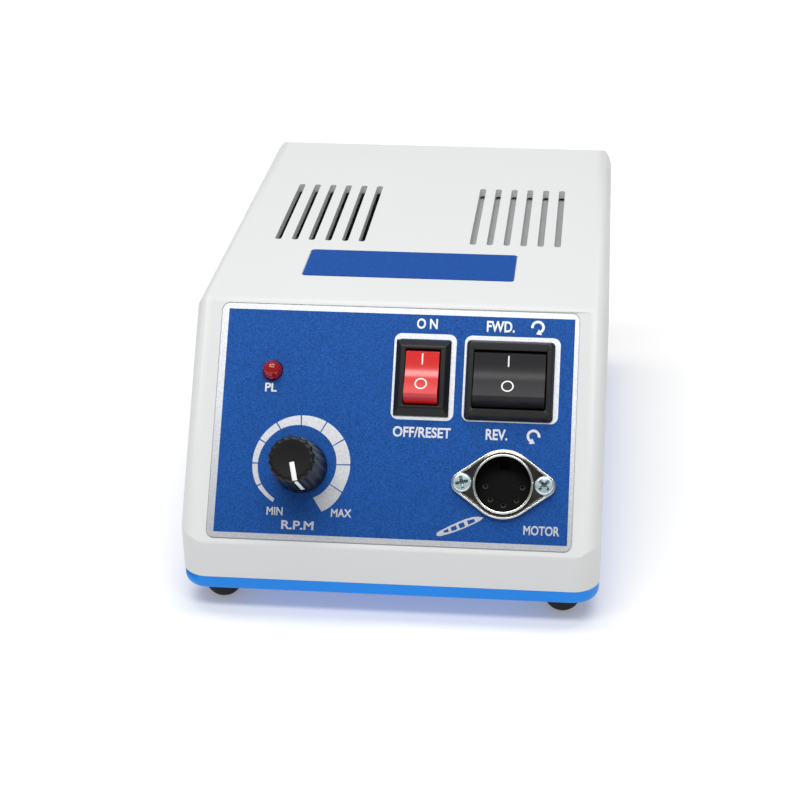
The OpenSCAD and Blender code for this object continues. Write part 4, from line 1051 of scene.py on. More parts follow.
@dataclass
class FrontLabel:
    """Blue film on silver foil with its printed words, dial band and outlines."""

    field_u: Point = (-47.2, 47.9)
    field_low: float = 3.25
    field_high: float = 64.75
    field_lift: float = 0.03
    ink: float = 0.03
    words: tuple[Word, ...] = (
        Word("on", "O N", 7.66, 62.2, 5.7, 2.9),
        Word("off_reset", "OFF/RESET", 7.68, 32.23, 15.7, 2.87),
        Word("forward", "FWD.", 27.75, 62.04, 7.62, 3.1),
        Word("reverse", "REV.", 27.9, 32.32, 5.85, 2.97),
        Word("pilot", "PL", -34.2, 43.1, 3.2, 2.4),
        Word("least", "MIN", -30.88, 9.36, 4.4, 2.2),
        Word("most", "MAX", -12.83, 9.52, 5.55, 2.17),
        Word("speed", "R.P.M", -24.47, 5.78, 8.75, 2.38),
        Word("motor", "MOTOR", 40.97, 6.95, 9.6, 2.52),
    )
    surrounds: tuple[Surround, ...] = (
        Surround(7.45, 47.5, 17.0, 23.8, 1.5), Surround(31.2, 47.55, 26.0, 23.6, 1.7))
    arrows: tuple[tuple[str, Spin, Point], ...] = (
        ("forward", Spin.CLOCKWISE, (37.83, 62.25)),
        ("reverse", Spin.ANTICLOCKWISE, (37.84, 32.29)))
    arrow_r: Point = (1.15, 1.85)
    arrow_sweep: Point = (-35.0, 215.0)
    arrow_head: Point = (0.55, 1.35)  # reach past the band, length
    arrow_turn: float = 25.0
    sign_at: Point = (19.24, 7.29)
    sign_turn: float = 19.0
    sign: tuple[Point, ...] = (
        (-6.7, -0.35), (-6.4, 0.1), (-5.6, 0.38), (-4.2, 0.64), (-2.35, 0.95), (-0.25, 1.25),
        (1.95, 1.45), (3.8, 1.45), (5.3, 1.15), (6.7, 0.5), (5.8, 0.0), (4.65, -0.24),
        (2.95, -0.52), (0.75, -0.8), (-1.7, -1.0), (-3.85, -1.05), (-5.7, -0.98), (-6.5, -0.72))
    sign_windows: tuple[tuple[Point, ...], ...] = (
        ((-4.65, 0.12), (-3.2, 0.3), (-3.25, -0.58), (-4.4, -0.46)),
        ((-2.5, 0.5), (-0.95, 0.6), (-0.95, -0.56), (-2.45, -0.6)),
        ((-0.28, 0.7), (1.25, 0.88), (1.35, -0.42), (-0.18, -0.53)),
        ((2.2, 0.92), (4.15, 0.9), (4.3, 0.0), (2.3, -0.24)))
    dial_at: Point = (-24.5, 22.34)
    dial_r: float = 13.34
    dial_steps: tuple[float, ...] = (
        217.0, 241.6, 269.2, 298.3, 326.2, 356.4, 388.0, 417.4, 448.7, 482.6, 521.5)
    dial_widths: tuple[Point, ...] = (  # clock angle, width
        (214, 1.1), (270, 1.5), (328, 2.15), (357, 2.65), (388, 3.25), (417, 3.55), (448, 3.75),
        (514, 3.85))
    dial_gap: float = 0.36
    dial_lean: Point = (0.026, 4.0)  # share of the squared drop, drop from which it starts

    def build(self) -> None:
        """Build the foil, the blue field and the prints."""
        foil = Form.copied("front_label", Place.PANEL)
        foil.piece("label_foil", FOIL, replaces=["front_label"], slot="label_blue")
        self.field()
        self.lay("print_outlines", *(surround.form() for surround in self.surrounds))
        spans = zip(self.dial_steps, self.dial_steps[1:])
        self.lay("print_dial", *(self.band(start, end) for start, end in spans))
        for word in self.words:
            form = Form.words(word.text, word.width, word.height, self.ink)
            form.moved(word.u, word.v, self.level())
            form.piece("print_" + word.name, FOIL, slot="label_blue")
        for name, way, spot in self.arrows:
            self.lay(f"print_{name}_arrow", self.round_arrow(way).moved(*spot))
        sign = Form.outline(self.sign, self.sign_windows)
        self.lay("print_handpiece", sign.moved(*self.sign_at, turn=self.sign_turn))

    def level(self) -> float:
        """Height of the blue field over the panel."""
        return CASE.label_face + self.field_lift

    def field(self) -> None:
        """Blue field, cut from the label's own form so that it keeps its openings."""
        form = Form.copied("front_label", Place.PANEL)
        for edge in self.field_u:
            form.cut((edge, 0, 0), (edge, 0, 0))
        form.cut((0, self.field_low, 0), (0, -1, 0)).cut((0, self.field_high, 0), (0, 1, 0))
        form.moved(z=self.field_lift).piece("label_field", INK, slot="label_blue")

    def lay(self, name: str, *parts: Form) -> None:
        """Lay flat parts on the field as one print.

        Args:
            name: Name of the piece.
            *parts: Flat forms.
        """
        form = Form().joined(*(part.raised(self.ink) for part in parts))
        form.moved(z=self.level()).piece(name, FOIL, slot="label_blue")

    def band_width(self, clock: float) -> float:
        """Width of the dial's band.

        Args:
            clock: Angle clockwise from twelve, in degrees, from the dial's first to its last.

        Returns:
            The width in millimetres.
        """
        for (a, first), (b, last) in zip(self.dial_widths, self.dial_widths[1:]):
            if clock <= b:
                return first + (last - first) * (clock - a) / (b - a)
        return self.dial_widths[-1][1]

    def band(self, start: float, end: float) -> Form:
        """One segment of the dial's band, between two clock angles.

        Args:
            start: First clock angle.
            end: Last clock angle.

        Returns:
            The flat form.
        """
        trim = math.degrees(self.dial_gap / 2 / self.dial_r)
        first, last = start + trim, end - trim
        form, way = Form(), math.radians(first)
        tips = [form.bm.verts.new((math.sin(way) * r, math.cos(way) * r, 0))
                for r in (self.dial_r, self.dial_r / 4)]
        bmesh.ops.spin(form.bm, geom=[*tips, form.bm.edges.new(tips)], cent=(0, 0, 0),
                       axis=(0, 0, 1), dvec=(0, 0, 0), angle=-math.radians(last - first), steps=8,
                       use_merge=False, use_duplicate=False)
        share, level = self.dial_lean
        for vert in form.bm.verts:
            if vert.co.length < self.dial_r / 2:
                clock = math.degrees(math.atan2(vert.co.x, vert.co.y)) % 360
                while clock < first - 1:
                    clock += 360
                vert.co = vert.co.normalized() * (self.dial_r - self.band_width(clock))
            vert.co.x += share * max(0.0, -vert.co.y - level) ** 2
        return form.moved(*self.dial_at)

    def round_arrow(self, way: Spin) -> Form:
        """Arrow bent to most of a circle.

        Args:
            way: Way that it turns.

        Returns:
            The flat form.
        """
        (inner, outer), (start, end) = self.arrow_r, self.arrow_sweep
        wing, length = self.arrow_head
        form = Form.outline(arc(outer, start, end, steps=24) + arc(inner, end, start, steps=24))
        c, s = math.cos(math.radians(start)), math.sin(math.radians(start))
        ends = ((inner - wing, 0.0), (outer + wing, 0.0), ((inner + outer) / 2, -length))
        form.joined(Form.outline([(r * c - t * s, r * s + t * c) for r, t in ends]))
        if way is Spin.ANTICLOCKWISE:
            bmesh.ops.scale(form.bm, vec=(-1, 1, 1), verts=form.bm.verts)
        return form.moved(turn=self.arrow_turn * way.value).faced()


@dataclass
class TopLabel:
    """Plain blue label on the top."""

    soft: float = 0.08

    def build(self) -> None:
        """Build the label."""
        form = Form.copied("top_label", Place.TOP).softened(self.soft, segments=2, angle=60)
        form.piece("top_sign", TOP_INK, place=Place.TOP, replaces=["top_label"], slot="label_plain",
                   even=True)


# Controls


@dataclass
class RockerSwitch:
    """Snap-in rocker switch: bezel, body and rocker with its two marks."""

    name: str
    u: float
    width: float
    rim: float
    corner: float
    finish: Finish
    slot: str
    body: Body
    v: float = 47.1
    length: float = 21.0
    edge_h: float = 0.4
    slope: Point = (0.9, 0.9)
    slope_steps: tuple[tuple[Spot, float], ...] = (  # shares of the slope, further inset; height
        ((0.0, 0.0, 0.03), 0.48), ((0.12, 0.12, 0.02), 0.68), ((0.93, 0.93, 0.0), 1.895),
        ((1.08, 1.06, 0.0), 1.98), ((1.25, 1.16, 0.0), 2.0))
    least_corner: float = 0.12
    mouth_steps: tuple[Point, ...] = ((0.14, 2.0), (0.04, 1.96), (0.0, 1.84))  # out, height
    mouth_corner: float = 0.45
    well_rise: float = 1.0
    inset: float = 1.1
    inset_corner: float = 0.4
    depth: float = 14.0
    radius: float = 7.5
    pivot: float = -0.5
    gap: float = 0.25
    lean: float = 11.0
    under: float = 3.5
    valley: float = 3.2
    valley_soft: float = 0.4
    edge_soft: float = 0.3
    face_steps: int = 10  # on each half
    fine: int = 100  # tries per millimetre
    mark_u: float = 0.0
    mark_ink: float = 0.035
    mark_sink: float = 0.008
    bar_size: Point = (0.38, 3.0)
    bar_v: float = 4.1
    ring_r: float = 1.68
    ring_band: float = 0.36
    ring_v: float = -3.0

    def build(self) -> None:
        """Build the bezel with its body, the rocker and its marks."""
        self.bezel()
        self.rocker()
        self.marks()

    def bezel(self) -> None:
        """Bezel with sloped sides over the label, a well for the rocker and the body behind."""
        su, sv = self.slope
        inner = max(self.least_corner, self.corner - su / 2)
        well = (self.width - 2 * self.rim, 2 * (self.radius + self.gap))

        def ring(inset_u: float, inset_v: float, radius: float) -> list[Point]:
            """Rounded rectangle inside the bezel's outline."""
            return rounded(self.width - 2 * inset_u, self.length - 2 * inset_v, radius)

        def mouth(out: float) -> list[Point]:
            """Rim of the well, moved outwards."""
            return rounded(well[0] + 2 * out, well[1] + 2 * out, self.mouth_corner + out)

        back, edge = ring(self.inset, self.inset, self.inset_corner), ring(0, 0, self.corner)
        rings = [(back, -self.depth), (back, 0.0), (edge, 0.0), (edge, self.edge_h)]
        for (a, b, more), z in self.slope_steps:
            radius = self.corner if a < 0.5 else inner
            rings.append((ring(su * a + more, sv * b + more, radius), z))
        rings += [(mouth(out), z) for out, z in self.mouth_steps]
        rings.append((mouth(0.0), self.pivot - self.radius + self.well_rise))
        form = Form.lofted(rings).moved(self.u, self.v, CASE.label_face)
        form.piece(self.name + "_bezel", TRIM, replaces=[self.name + "_switch_body"],
                   slot="black_plastic", sharp=50, even=True)

    def face_height(self, v: float) -> float:
        """Height of the rocker's face over its pivot at a distance from its soft middle."""
        return self.valley + math.hypot(v * math.tan(math.radians(self.lean)), self.valley_soft)

    def rocker(self) -> None:
        """Rocker with a hollow face, round ends and softened edges."""
        width = self.width - 2 * self.rim - 2 * self.gap
        tries = (x / self.fine for x in range(round(self.fine * self.radius), 0, -1))
        reach = next(x for x in tries if math.hypot(x, self.face_height(x)) <= self.radius)
        foot = math.degrees(math.asin(self.under / self.radius))
        tip = math.degrees(math.atan2(self.face_height(reach), reach))
        right = arc(self.radius, -foot, tip, steps=14)
        left = arc(self.radius, 180 - tip, 180 + foot, steps=14)
        half = self.face_steps
        across = [reach * k / half for k in range(half - 1, -half, -1)]
        face = [(x, self.face_height(x)) for x in across]
        form = Form.outline(right + face + left).raised(width).moved(z=-width / 2).upright()
        form.faced().softened(self.edge_soft, segments=3, angle=25,
                              pick=lambda edge: sum(v.co.z for v in edge.verts) > 0)
        self.seat(form).piece(self.name + "_rocker_key", self.finish, self.body,
                              replaces=[self.name + "_rocker"], slot=self.slot, even=True)

    def seat(self, form: Form) -> Form:
        """Lean a form that is drawn round the pivot and put it in its switch."""
        return form.moved(lean=-self.lean).moved(self.u, self.v, CASE.label_face + self.pivot)

    def marks(self) -> None:
        """White bar and ring that follow the two halves of the face."""
        form = Form.sheet(*self.bar_size, radius=0.1, steps=3).moved(y=self.bar_v)
        form.joined(Form.disc(self.ring_r, steps=40).framed(self.ring_band).moved(y=self.ring_v))
        form.moved(self.mark_u).raised(self.mark_ink)
        for vert in form.bm.verts:
            vert.co.z += self.face_height(vert.co.y) - self.mark_sink
        self.seat(form).piece(self.name + "_marks", MARK, self.body, slot="white_paint")


@dataclass
class PilotLamp:
    """Domed red lamp in the panel."""

    u: float = -34.0
    v: float = 47.8
    radius: float = 2.6
    height: float = 3.4
    back: float = 2.6
    cup: tuple[Point, ...] = (
        (0, -1.9), (1.25, -1.9), (1.45, -0.2), (1.2, -0.2), (0.8, -0.9), (0, -0.9))

    def build(self) -> None:
        """Build the clear lens and the bright cup inside it."""
        dome = arc(self.radius, 0, 90, steps=12, y=self.height - self.radius)
        lens = Form.turned([(0, -self.back), (self.radius, -self.back)] + dome, steps=40)
        lens.moved(self.u, self.v, CASE.label_face)
        lens.piece("lamp_lens", LENS, replaces=["pilot_lamp_lens"], slot="red_lens")
        cup = Form.turned(self.cup, steps=32).moved(self.u, self.v, CASE.label_face)
        cup.piece("lamp_cup", STEEL, slot="steel")


@dataclass
class SpeedKnob:
    """Fluted knob with a white pointer over its top and down its side."""

    u: float = -24.5
    v: float = 21.6
    base: float = 0.5
    height: float = 16.0
    low_r: float = 7.2
    top_r: float = 6.2
    edge: float = 0.8
    edge_arc: Point = (88.0, 4.0)
    dish: tuple[Point, ...] = ((0.0, 15.85), (3.4375, 15.88), (4.75, 16.0))
    rings: tuple[float, ...] = (14.9, 14.4, 13.0, 10.5, 8.0, 5.5, 3.0, 1.8, 1.3, 0.9)
    flutes: int = 18
    flute_sides: int = 12
    flute_r: float = 1.1
    flute_depth: float = 0.35
    flute_in: float = 5.0
    flute_low: float = 1.0
    flute_fade: float = 0.6
    foot: tuple[Point, ...] = ((7.2, 0.35), (6.9, 0.0), (6.32, 0.0), (6.02, 0.3))
    hollow: tuple[Point, ...] = ((6.02, 4.8), (3.0, 4.8), (3.0, 14.0), (0.0, 14.0))
    pointer_clock: float = 166.5
    pointer_w: float = 1.3
    pointer_t: float = 0.35
    pointer_corner: float = 0.15
    pointer_soft: float = 0.08
    pointer_proud: float = 0.1
    pointer_top: Spot = (4.96, 3.37, 15.69)  # length, middle, height
    pointer_side: Point = (11.52, 8.96)  # length, middle

    def build(self) -> None:
        """Build the knob and its pointer."""
        turn = 90 - self.pointer_clock
        knob = Form.turned(self.profile(), self.flutes * self.flute_sides)
        self.flute(knob)
        knob.moved(self.u, self.v, self.base, turn=turn)
        knob.piece("knob", KNOB, Body.SPEED, replaces=["speed_knob"], slot="black_plastic",
                   sharp=42)
        line = self.pointer().moved(self.u, self.v, self.base, turn=turn)
        line.piece("pointer", MARK, Body.SPEED, replaces=["knob_pointer"], slot="white_paint")

    def side_r(self, z: float) -> float:
        """Radius of the tapered side at a height."""
        return self.low_r + (self.top_r - self.low_r) * z / self.height

    def profile(self) -> list[Point]:
        """Half section of the knob from the top's middle to the bore's end.

        Returns:
            Its points in order.
        """
        level = self.height - self.edge
        crown = arc(self.edge, *self.edge_arc, steps=5, x=self.side_r(level) - self.edge, y=level)
        side = [(self.side_r(z), z) for z in self.rings]
        return [*self.dish, *crown, *side, *self.foot, *self.hollow]

    def flute(self, form: Form) -> None:
        """Press the flutes into the side.

        Args:
            form: The turned knob.
        """
        step = 2 * math.pi / self.flutes
        for vert in form.bm.verts:
            radius = math.hypot(vert.co.x, vert.co.y)
            if radius < self.flute_in or vert.co.z < self.flute_low:
                continue
            angle = math.atan2(vert.co.y, vert.co.x) / step
            off = (angle - round(angle)) * step * radius
            chord = math.sqrt(max(0.0, self.flute_r ** 2 - off ** 2))
            bite = max(0.0, chord - self.flute_r + self.flute_depth)
            fade = min(1.0, (vert.co.z - self.flute_low) / self.flute_fade)
            vert.co.xy *= (radius - bite * fade) / radius

    def pointer(self) -> Form:
        """White line from near the middle over the edge and down one flute.

        Returns:
            The form, about the knob's axis.
        """
        length, out, up = self.pointer_top
        top = Form.sheet(length, self.pointer_w, self.pointer_corner, steps=3)
        top.raised(self.pointer_t).moved(out, 0, up)
        length, up = self.pointer_side
        side = Form.sheet(self.pointer_w, length, self.pointer_corner, steps=3)
        side.raised(self.pointer_t).upright()
        taper = math.atan((self.low_r - self.top_r) / self.height)
        side.bm.transform(Matrix.Rotation(-taper, 4, "Y"))
        out = self.side_r(up) - self.flute_depth - self.pointer_t + self.pointer_proud
        top.joined(side.moved(out, 0, up)).faced()
        return top.softened(self.pointer_soft, segments=2, angle=50)


@dataclass(frozen=True)
class CrossScrew:
    """Screw with a pan head that has a cross recess. Its shank starts a little inside the head."""

    radius: float
    height: float
    shank_r: float
    shank_l: float
    sides: int
    flat: float = 0.76
    wing: float = 0.68
    web: float = 0.16
    shoulder: float = 0.42
    depth: float = 0.62
    dome: tuple[float, ...] = (25.0, 50.0, 75.0, 90.0)
    recess: tuple[Point, ...] = ((0.0, 1.0), (0.55, 0.86), (1.0, 0.5))  # share of depth, scale
    overlap: float = 0.05

    def pair(self, pitch: float, turns: Point) -> Form:
        """Two screws, one on each side of the middle.

        Args:
            pitch: Distance between them.
            turns: Turn of the left one's recess and of the right one's.

        Returns:
            The form.
        """
        both = Form()
        for side, turn in zip((-pitch / 2, pitch / 2), turns):
            shank = Form.disc(self.shank_r, self.sides).raised(self.shank_l)
            shank.moved(z=self.overlap - self.shank_l)
            both.joined(self.head().moved(turn=turn).joined(shank).moved(side))
        return both

    def head(self) -> Form:
        """Domed head on Z = 0 with its recess, which is marked for the painted shade finish.

        Returns:
            The form.
        """
        top, shoulder = self.radius * self.flat, self.height * self.shoulder
        profile = [(0, 0), (self.radius, 0), (self.radius, shoulder)]
        for angle in map(math.radians, self.dome):
            profile.append((top + (self.radius - top) * math.cos(angle),
                            shoulder + (self.height - shoulder) * math.sin(angle)))
        form = Form.turned(profile + [(0, self.height)], steps=40)
        crown = [v for v in form.bm.verts if v.co.z > WELD and v.co.xy.length < WELD]
        bmesh.ops.dissolve_verts(form.bm, verts=crown)
        face = max(form.bm.faces, key=lambda f: f.calc_center_median().z)
        rim = list(face.edges)
        bmesh.ops.delete(form.bm, geom=[face], context="FACES_ONLY")
        wing, web = self.radius * self.wing, self.radius * self.web
        corners = [(wing, -web), (wing, web), (web, web)]
        for _ in range(3):
            corners += [(-y, x) for x, y in corners[-3:]]
        loops, depth = [], self.height * self.depth
        for level, scale in self.recess:
            z = self.height - depth * level
            ring = [form.bm.verts.new((x * scale, y * scale, z)) for x, y in corners]
            loops.append([form.bm.edges.new(pair) for pair in zip(ring, ring[1:] + ring[:1])])
        bmesh.ops.triangle_fill(form.bm, use_beauty=True, use_dissolve=False, edges=rim + loops[0])
        for upper, lower in zip(loops, loops[1:]):
            bmesh.ops.bridge_loops(form.bm, edges=upper + lower)
        bmesh.ops.contextual_create(form.bm, geom=loops[-1])
        high = self.height - HAIR
        # Painted shade: the recess faces get the darker second finish.
        return form.faced().marked(lambda co: co.xy.length < wing and HAIR < co.z < high)


@dataclass
class MotorSocket:
    """Round motor socket: oval flange with a raised rim, collar, insert and its two screws."""

    u: float = 30.3
    v: float = 18.9
    flange_r: float = 9.4
    ear_r: float = 3.0
    pitch: float = 22.0
    flange_t: float = 1.0
    flange_wall: float = 0.6
    rim_h: float = 0.5
    rim_r: float = 0.32
    rim_arc: Point = (5.0, 115.0)
    rim_foot: tuple[Point, ...] = ((-0.62, 0.22), (-0.75, 0.05), (-0.95, 0.0))  # growth, height
    face_slack: float = 0.06
    bore_lap: float = 0.05
    lip_drop: float = 0.15
    collar_in: float = 7.4
    collar_out: float = 8.1
    collar_top: float = 2.3
    shell_low: float = -8.7
    insert_face: float = -3.7
    insert_r: float = 6.9
    insert_soft: float = 0.12
    screw: CrossScrew = CrossScrew(radius=2.6, height=1.6, shank_r=1.38, shank_l=7.0, sides=24)
    screw_turn: Point = (14.0, 45.0)

    def build(self) -> None:
        """Build the flange, the collar, the insert and the screws."""
        self.flange()
        self.collar()
        insert = Form.copied("socket_insert", Place.PANEL)
        insert.softened(self.insert_soft, segments=2, angle=40)
        insert.piece("insert", INSERT, replaces=["socket_insert"], slot="black_plastic", even=True)
        screws = self.screw.pair(self.pitch, self.screw_turn)
        screws.moved(self.u, self.v, CASE.label_face + self.flange_t)
        screws.piece("flange_screws", ZINC, replaces=["socket_screws"], slot="zinc", sharp=40,
                     second=RECESS_SHADE)

    def lozenge(self, grow: float) -> list[Point]:
        """Outline of the flange.

        Args:
            grow: How far the outline is moved outwards.

        Returns:
            Its points in order.
        """
        half = math.degrees(math.acos((self.flange_r - self.ear_r) / (self.pitch / 2)))
        points: list[Point] = []
        for start, ear in ((0, -self.pitch / 2), (180, self.pitch / 2)):
            end = start + 180
            points += arc(self.flange_r + grow, start + half, end - half, steps=24)
            points += arc(self.ear_r + grow, end - half, end + half, steps=14, x=ear)
        return points

    def flange(self) -> None:
        """Pressed flange: a rolled rim round a lower face in darker painted shade, open in the
        middle.
        """
        outer, low, inner = self.lozenge(0.0), self.flange_t, self.collar_out - self.bore_lap
        crest = low + self.rim_h - self.rim_r
        roll = arc(self.rim_r, *self.rim_arc, steps=6)
        bore = [tuple(Vector(point).normalized() * inner) for point in outer]
        rings = [(outer, 0.0), (outer, self.flange_wall)]
        rings += [(self.lozenge(r - self.rim_r), z + crest) for r, z in roll]
        rings += [(self.lozenge(grow), low + z) for grow, z in self.rim_foot]
        form = Form.lofted(rings + [(bore, low), (bore, 0.0)], tube=True)
        # Painted shade: the lower face gets the darker nickel.
        form.marked(lambda co: abs(co.z - low) < self.face_slack)
        form.moved(self.u, self.v, CASE.label_face)
        form.piece("flange", NICKEL, replaces=["socket_flange"], slot="nickel", sharp=50,
                   second=SHADED_NICKEL)

    def collar(self) -> None:
        """Round collar with a rolled lip, black inside as painted shade, and the shell behind it.
        """
        lip, middle = (self.collar_out - self.collar_in) / 2, (self.collar_out + self.collar_in) / 2
        edge = self.collar_top - lip
        profile = [(self.insert_r, self.shell_low), (self.collar_out, self.shell_low)]
        profile += arc(lip, 0, 180, steps=8, x=middle, y=edge)
        profile += [(self.collar_in, z) for z in (edge - self.lip_drop, self.insert_face)]
        profile.append((self.insert_r, self.insert_face))
        form = Form.turned(profile, steps=72)
        # Painted shade: the collar's inner wall gets the black insert finish.
        form.marked(lambda co: co.xy.length < self.collar_in + HAIR).moved(self.u, self.v)
        form.piece("collar", NICKEL, slot="nickel", sharp=50, second=INSERT)


# Rear


@dataclass
class RearFittings:
    """Cord bush, fuse holder, foot control jack, slide switch and bare plate on the rear wall."""

    cord: Point = (-34.0, 30.0)
    jack: Point = (40.0, 32.0)
    mode: Point = (36.0, 56.0)
    mode_pitch: float = 17.0
    mode_screw: CrossScrew = CrossScrew(radius=1.9, height=1.2, shank_r=0.95, shank_l=4.2, sides=20)
    mode_turn: Point = (50.0, 10.0)
    grommet: tuple[Point, ...] = (
        (3.5, -8.5), (6.2, -8.5), (6.2, -4.0), (7.4, -4.0), (7.4, -2.5), (6.2, -2.5), (6.2, 0.0),
        (7.95, 0.0), (8.2, 0.25), (8.2, 1.2), (7.7, 1.9), (6.6, 2.3), (6.0, 2.35), (5.6, 2.8),
        (5.0, 3.0), (3.9, 3.0), (3.5, 2.6))
    jack_face: tuple[Point, ...] = ((3.2, -20.4), (3.2, 3.3), (3.5, 3.6), (4.2, 3.6), (4.45, 3.3))
    jack_body: tuple[Point, ...] = ((4.6, -2.5), (7.2, -2.5), (7.2, -22.4), (0, -22.4), (0, -20.4))
    thread_r: Point = (4.38, 4.6)
    thread_low: float = -2.4
    thread_pitch: float = 0.8
    thread_turns: int = 7
    nut: tuple[Point, ...] = (
        (4.65, 0.0), (6.6, 0.0), (6.6, 1.7), (6.1, 2.4), (4.9, 2.4), (4.65, 2.15))
    key_half: float = 8.0
    key_level: float = 1.9
    key_floor: float = 1.5

    def build(self) -> None:
        """Build every fitting on the rear wall."""
        bush = self.at(Form.turned(self.grommet, steps=64), self.cord)
        bush.piece("cord_grommet", RUBBER, place=Place.REAR, replaces=["cord_bush"],
                   slot="black_rubber")
        self.dressed("fuse_socket", "fuse_holder", TRIM, Body.CASE, (0.35, 3, 60), 0.5)
        self.dressed("fuse_knob", "fuse_cap", TRIM, Body.FUSE_CAP, (0.14, 2, 50), 3)
        self.foot_jack()
        self.dressed("slider", "mode_slider", GLOSSY, Body.MODE, (0.2, 2, 60))
        self.slide_screws()
        self.dressed("bare_plate", "rating_plate", PLATE, Body.CASE, (0.12, 2, 60),
                     slot="plate_silver")

    def dressed(self, name: str, node: str, finish: Finish, body: Body,
                soft: tuple[float, int, float], above: float = -math.inf,
                slot: str = "black_plastic") -> None:
        """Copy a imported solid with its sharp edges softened.

        Args:
            name: Name of the piece.
            node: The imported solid.
            finish: Finish of the piece.
            body: Body that it rides on.
            soft: Width, segments and least angle of the rounding.
            above: Height over the wall from which edges are rounded.
            slot: Material slot of the record.
        """
        form = Form.copied(node, Place.REAR)
        form.softened(*soft, lambda edge: min(v.co.z for v in edge.verts) > above)
        form.piece(name, finish, body, Place.REAR, replaces=[node], slot=slot, even=True)

    def at(self, form: Form, spot: Point) -> Form:
        """Put a form on the rear wall, where X runs the other way."""
        return form.moved(-spot[0], spot[1])

    def foot_jack(self) -> None:
        """Threaded jack bush with a round nut that has two key slots."""
        root, crest = self.thread_r
        profile = list(self.jack_face)
        for turn in reversed(range(self.thread_turns)):
            z = self.thread_low + self.thread_pitch * turn
            profile += [(root, z + self.thread_pitch / 2), (crest, z)]
        profile += self.jack_body
        bush = self.at(Form.turned(profile, steps=48), self.jack)
        bush.piece("jack_bush", GLOSSY, place=Place.REAR, replaces=["foot_jack"],
                   slot="black_plastic")
        ring = Form.turned(self.nut, steps=60)
        for vert in ring.bm.verts:
            angle = math.degrees(math.atan2(vert.co.y, vert.co.x)) % 180
            if vert.co.z > self.key_level and min(angle, 180 - angle) < self.key_half:
                vert.co.z = self.key_floor
        self.at(ring, self.jack).piece("jack_nut", NICKEL, place=Place.REAR,
                                       replaces=["foot_jack_nut"], slot="nickel", sharp=30)

    def slide_screws(self) -> None:
        """Two screws beside the slider."""
        screws = self.at(self.mode_screw.pair(self.mode_pitch, self.mode_turn), self.mode)
        screws.piece("slide_screws", ZINC, place=Place.REAR, replaces=["mode_switch_screws"],
                     slot="zinc", sharp=40, second=RECESS_SHADE)


# Inner pieces and stage

INNER: dict[Finish, tuple[str, ...]] = {
    ZINC: ("case_screws", "socket_nuts", "transformer_screws", "board_screws", "heat_sink_screws",
           "transistor_screw"),
    BRASS: ("power_switch_tabs", "direction_switch_tabs", "control_wiper", "control_tabs"),
    SHADED_CONTACT: ("socket_contacts",),
    STEEL: ("pilot_lamp_leads", "control_shaft", "control_body", "control_washer", "control_nut",
            "transformer_bracket", "fuse_ends", "mode_switch_frame"),
    TRIM: ("pilot_lamp_holder", "bridge_rectifier", "control_chip", "power_transistor",
           "fuse_holder_nut"),
    CORE: ("transformer_core",),
    WIRE: ("transformer_winding",),
    IVORY: ("transformer_bobbin", "board_spacers", "board_headers"),
    BOARD: ("control_board",),
    SLEEVE: ("filter_capacitors",),
    RELAY: ("overload_relay", "trimmers"),
    SINK: ("heat_sink",),
    GLASS: ("fuse_glass",),
    INSULATION: ("internal_leads",),
}


def dress_inner() -> None:
    """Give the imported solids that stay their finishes."""
    for finish, nodes in INNER.items():
        for node in nodes:
            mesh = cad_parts[node].data
            mesh.materials.clear()
            mesh.materials.append(finish.material())
        LOG.info("%s: %d solids", finish.name, len(nodes))


@dataclass(frozen=True)
class SoftBox:
    """A wide light: place, size and aim in metres, power in watts and spread in degrees."""

    name: str
    spot: Spot
    size: Point
    power: float
    aim: Spot
    spread: float = 180.0

    def build(self) -> None:
        """Hang the light."""
        data = bpy.data.lights.new(self.name, "AREA")
        data.shape = "RECTANGLE"
        data.size, data.size_y = self.size
        data.energy = self.power
        data.spread = math.radians(self.spread)
        light = bpy.data.objects.new(self.name, data)
        way = (Vector(self.aim) - Vector(self.spot)).to_track_quat("-Z", "Y")
        light.matrix_world = Matrix.Translation(self.spot) @ way.to_matrix().to_4x4()
        bpy.context.scene.collection.objects.link(light)


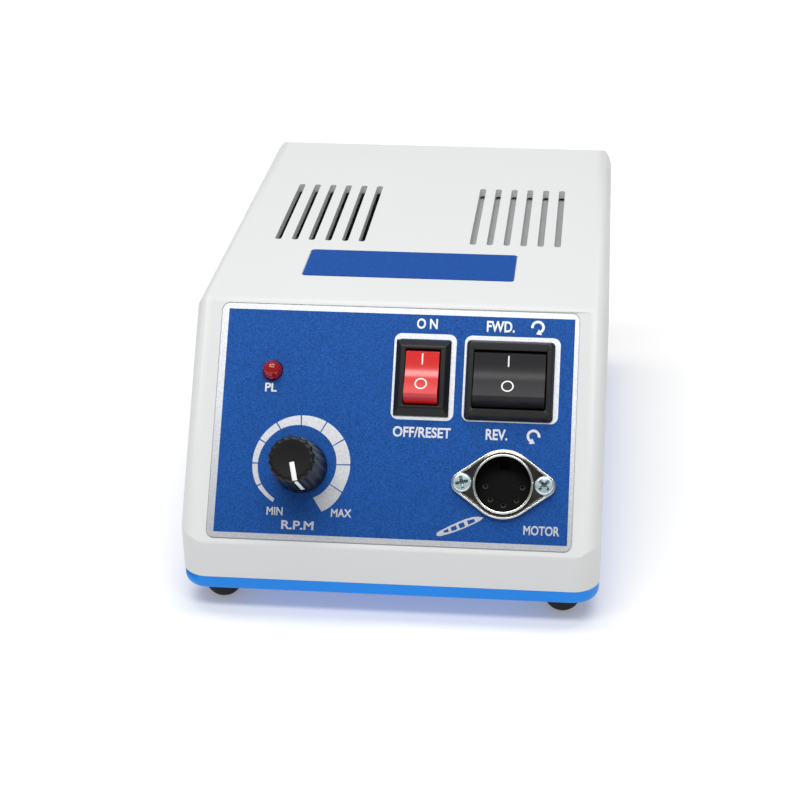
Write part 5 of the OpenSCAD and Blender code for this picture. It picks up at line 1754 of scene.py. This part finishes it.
@dataclass
class Studio:
    """Pale floor, soft lights and the camera at the photograph's angle."""

    azimuth: float = 4.46
    elevation: float = 25.91
    roll: float = 0.11
    distance: float = 486.16
    lens: float = 76.43
    sensor: float = 36.0
    clip: Point = (0.01, 50.0)
    shift: Point = (-0.0875, -0.0125)
    target: Spot = (18.29, 50.0, 45.46)
    floor_size: float = 12000.0
    floor_drop: float = 0.05
    sky: float = 0.3
    boxes: tuple[SoftBox, ...] = (
        SoftBox("key", (-0.05, -0.45, 1.0), (1.05, 0.28), 6.0, (0, -0.02, 0.04)),
        SoftBox("overhead", (0.0, 0.08, 1.05), (1.0, 0.25), 5.2, (0, 0.02, 0.04)),
        SoftBox("backdrop", (0.0, 0.95, 1.2), (1.2, 0.3), 6.0, (0, 0.951, 0), 70),
    )

    def build(self) -> None:
        """Build the camera, the floor and the lights."""
        self.camera()
        self.floor()
        self.lights()

    def camera(self) -> None:
        """Camera from its angles round the target."""
        az, el, roll = map(math.radians, (self.azimuth, self.elevation, self.roll))
        back = Vector((math.sin(az) * math.cos(el), -math.cos(az) * math.cos(el), math.sin(el)))
        right = Vector((0, 0, 1)).cross(back).normalized()
        up = back.cross(right)
        c, s = math.cos(roll), math.sin(roll)
        right, up = c * right + s * up, c * up - s * right
        data = bpy.data.cameras.new("camera")
        data.sensor_width, data.lens = self.sensor, self.lens
        data.shift_x, data.shift_y = self.shift
        data.clip_start, data.clip_end = self.clip
        camera = bpy.data.objects.new("camera", data)
        bpy.context.scene.collection.objects.link(camera)
        turn = Matrix((right, up, back)).transposed().to_4x4()
        spot = Place.CASE.matrix() @ Vector(self.target) + back * self.distance * MM
        camera.matrix_world = Matrix.Translation(spot) @ turn
        bpy.context.scene.camera = camera

    def floor(self) -> None:
        """Wide pale floor under the feet."""
        form = Form.sheet(self.floor_size, self.floor_size)
        form.bm.transform(Place.ROW.matrix() @ Matrix.Translation((0, 0, -self.floor_drop)))
        mesh = form.mesh("floor")
        mesh.materials.append(FLOOR.material())
        floor = bpy.data.objects.new("floor", mesh)
        bpy.context.scene.collection.objects.link(floor)

    def lights(self) -> None:
        """White surroundings and the soft boxes."""
        scene = bpy.context.scene
        scene.view_settings.view_transform = "Standard"
        scene.world = bpy.data.worlds.new("studio")
        scene.world.use_nodes = True
        sky = scene.world.node_tree.nodes["Background"]
        sky.inputs["Color"].default_value = (1.0, 1.0, 1.0, 1.0)
        sky.inputs["Strength"].default_value = self.sky
        for box in self.boxes:
            box.build()


def main() -> None:
    """Build every sub-assembly."""
    logging.basicConfig(level=logging.INFO, format="%(name)s %(message)s")
    Studio().build()
    CaseShell().build()
    FrontLabel().build()
    TopLabel().build()
    RockerSwitch("power", u=7.1, width=15.0, rim=2.7, corner=0.3, slope=(1.35, 1.9), finish=RED,
                 slot="red_plastic", body=Body.POWER).build()
    RockerSwitch("direction", u=30.8, width=24.0, rim=2.1, corner=1.2, slope=(0.7, 0.9),
                 length=22.0, radius=7.8, valley=3.5, mark_u=-0.35, finish=GLOSSY,
                 slot="black_gloss", body=Body.DIRECTION).build()
    PilotLamp().build()
    SpeedKnob().build()
    MotorSocket().build()
    RearFittings().build()
    dress_inner()


if __name__ == "__main__":
    main()
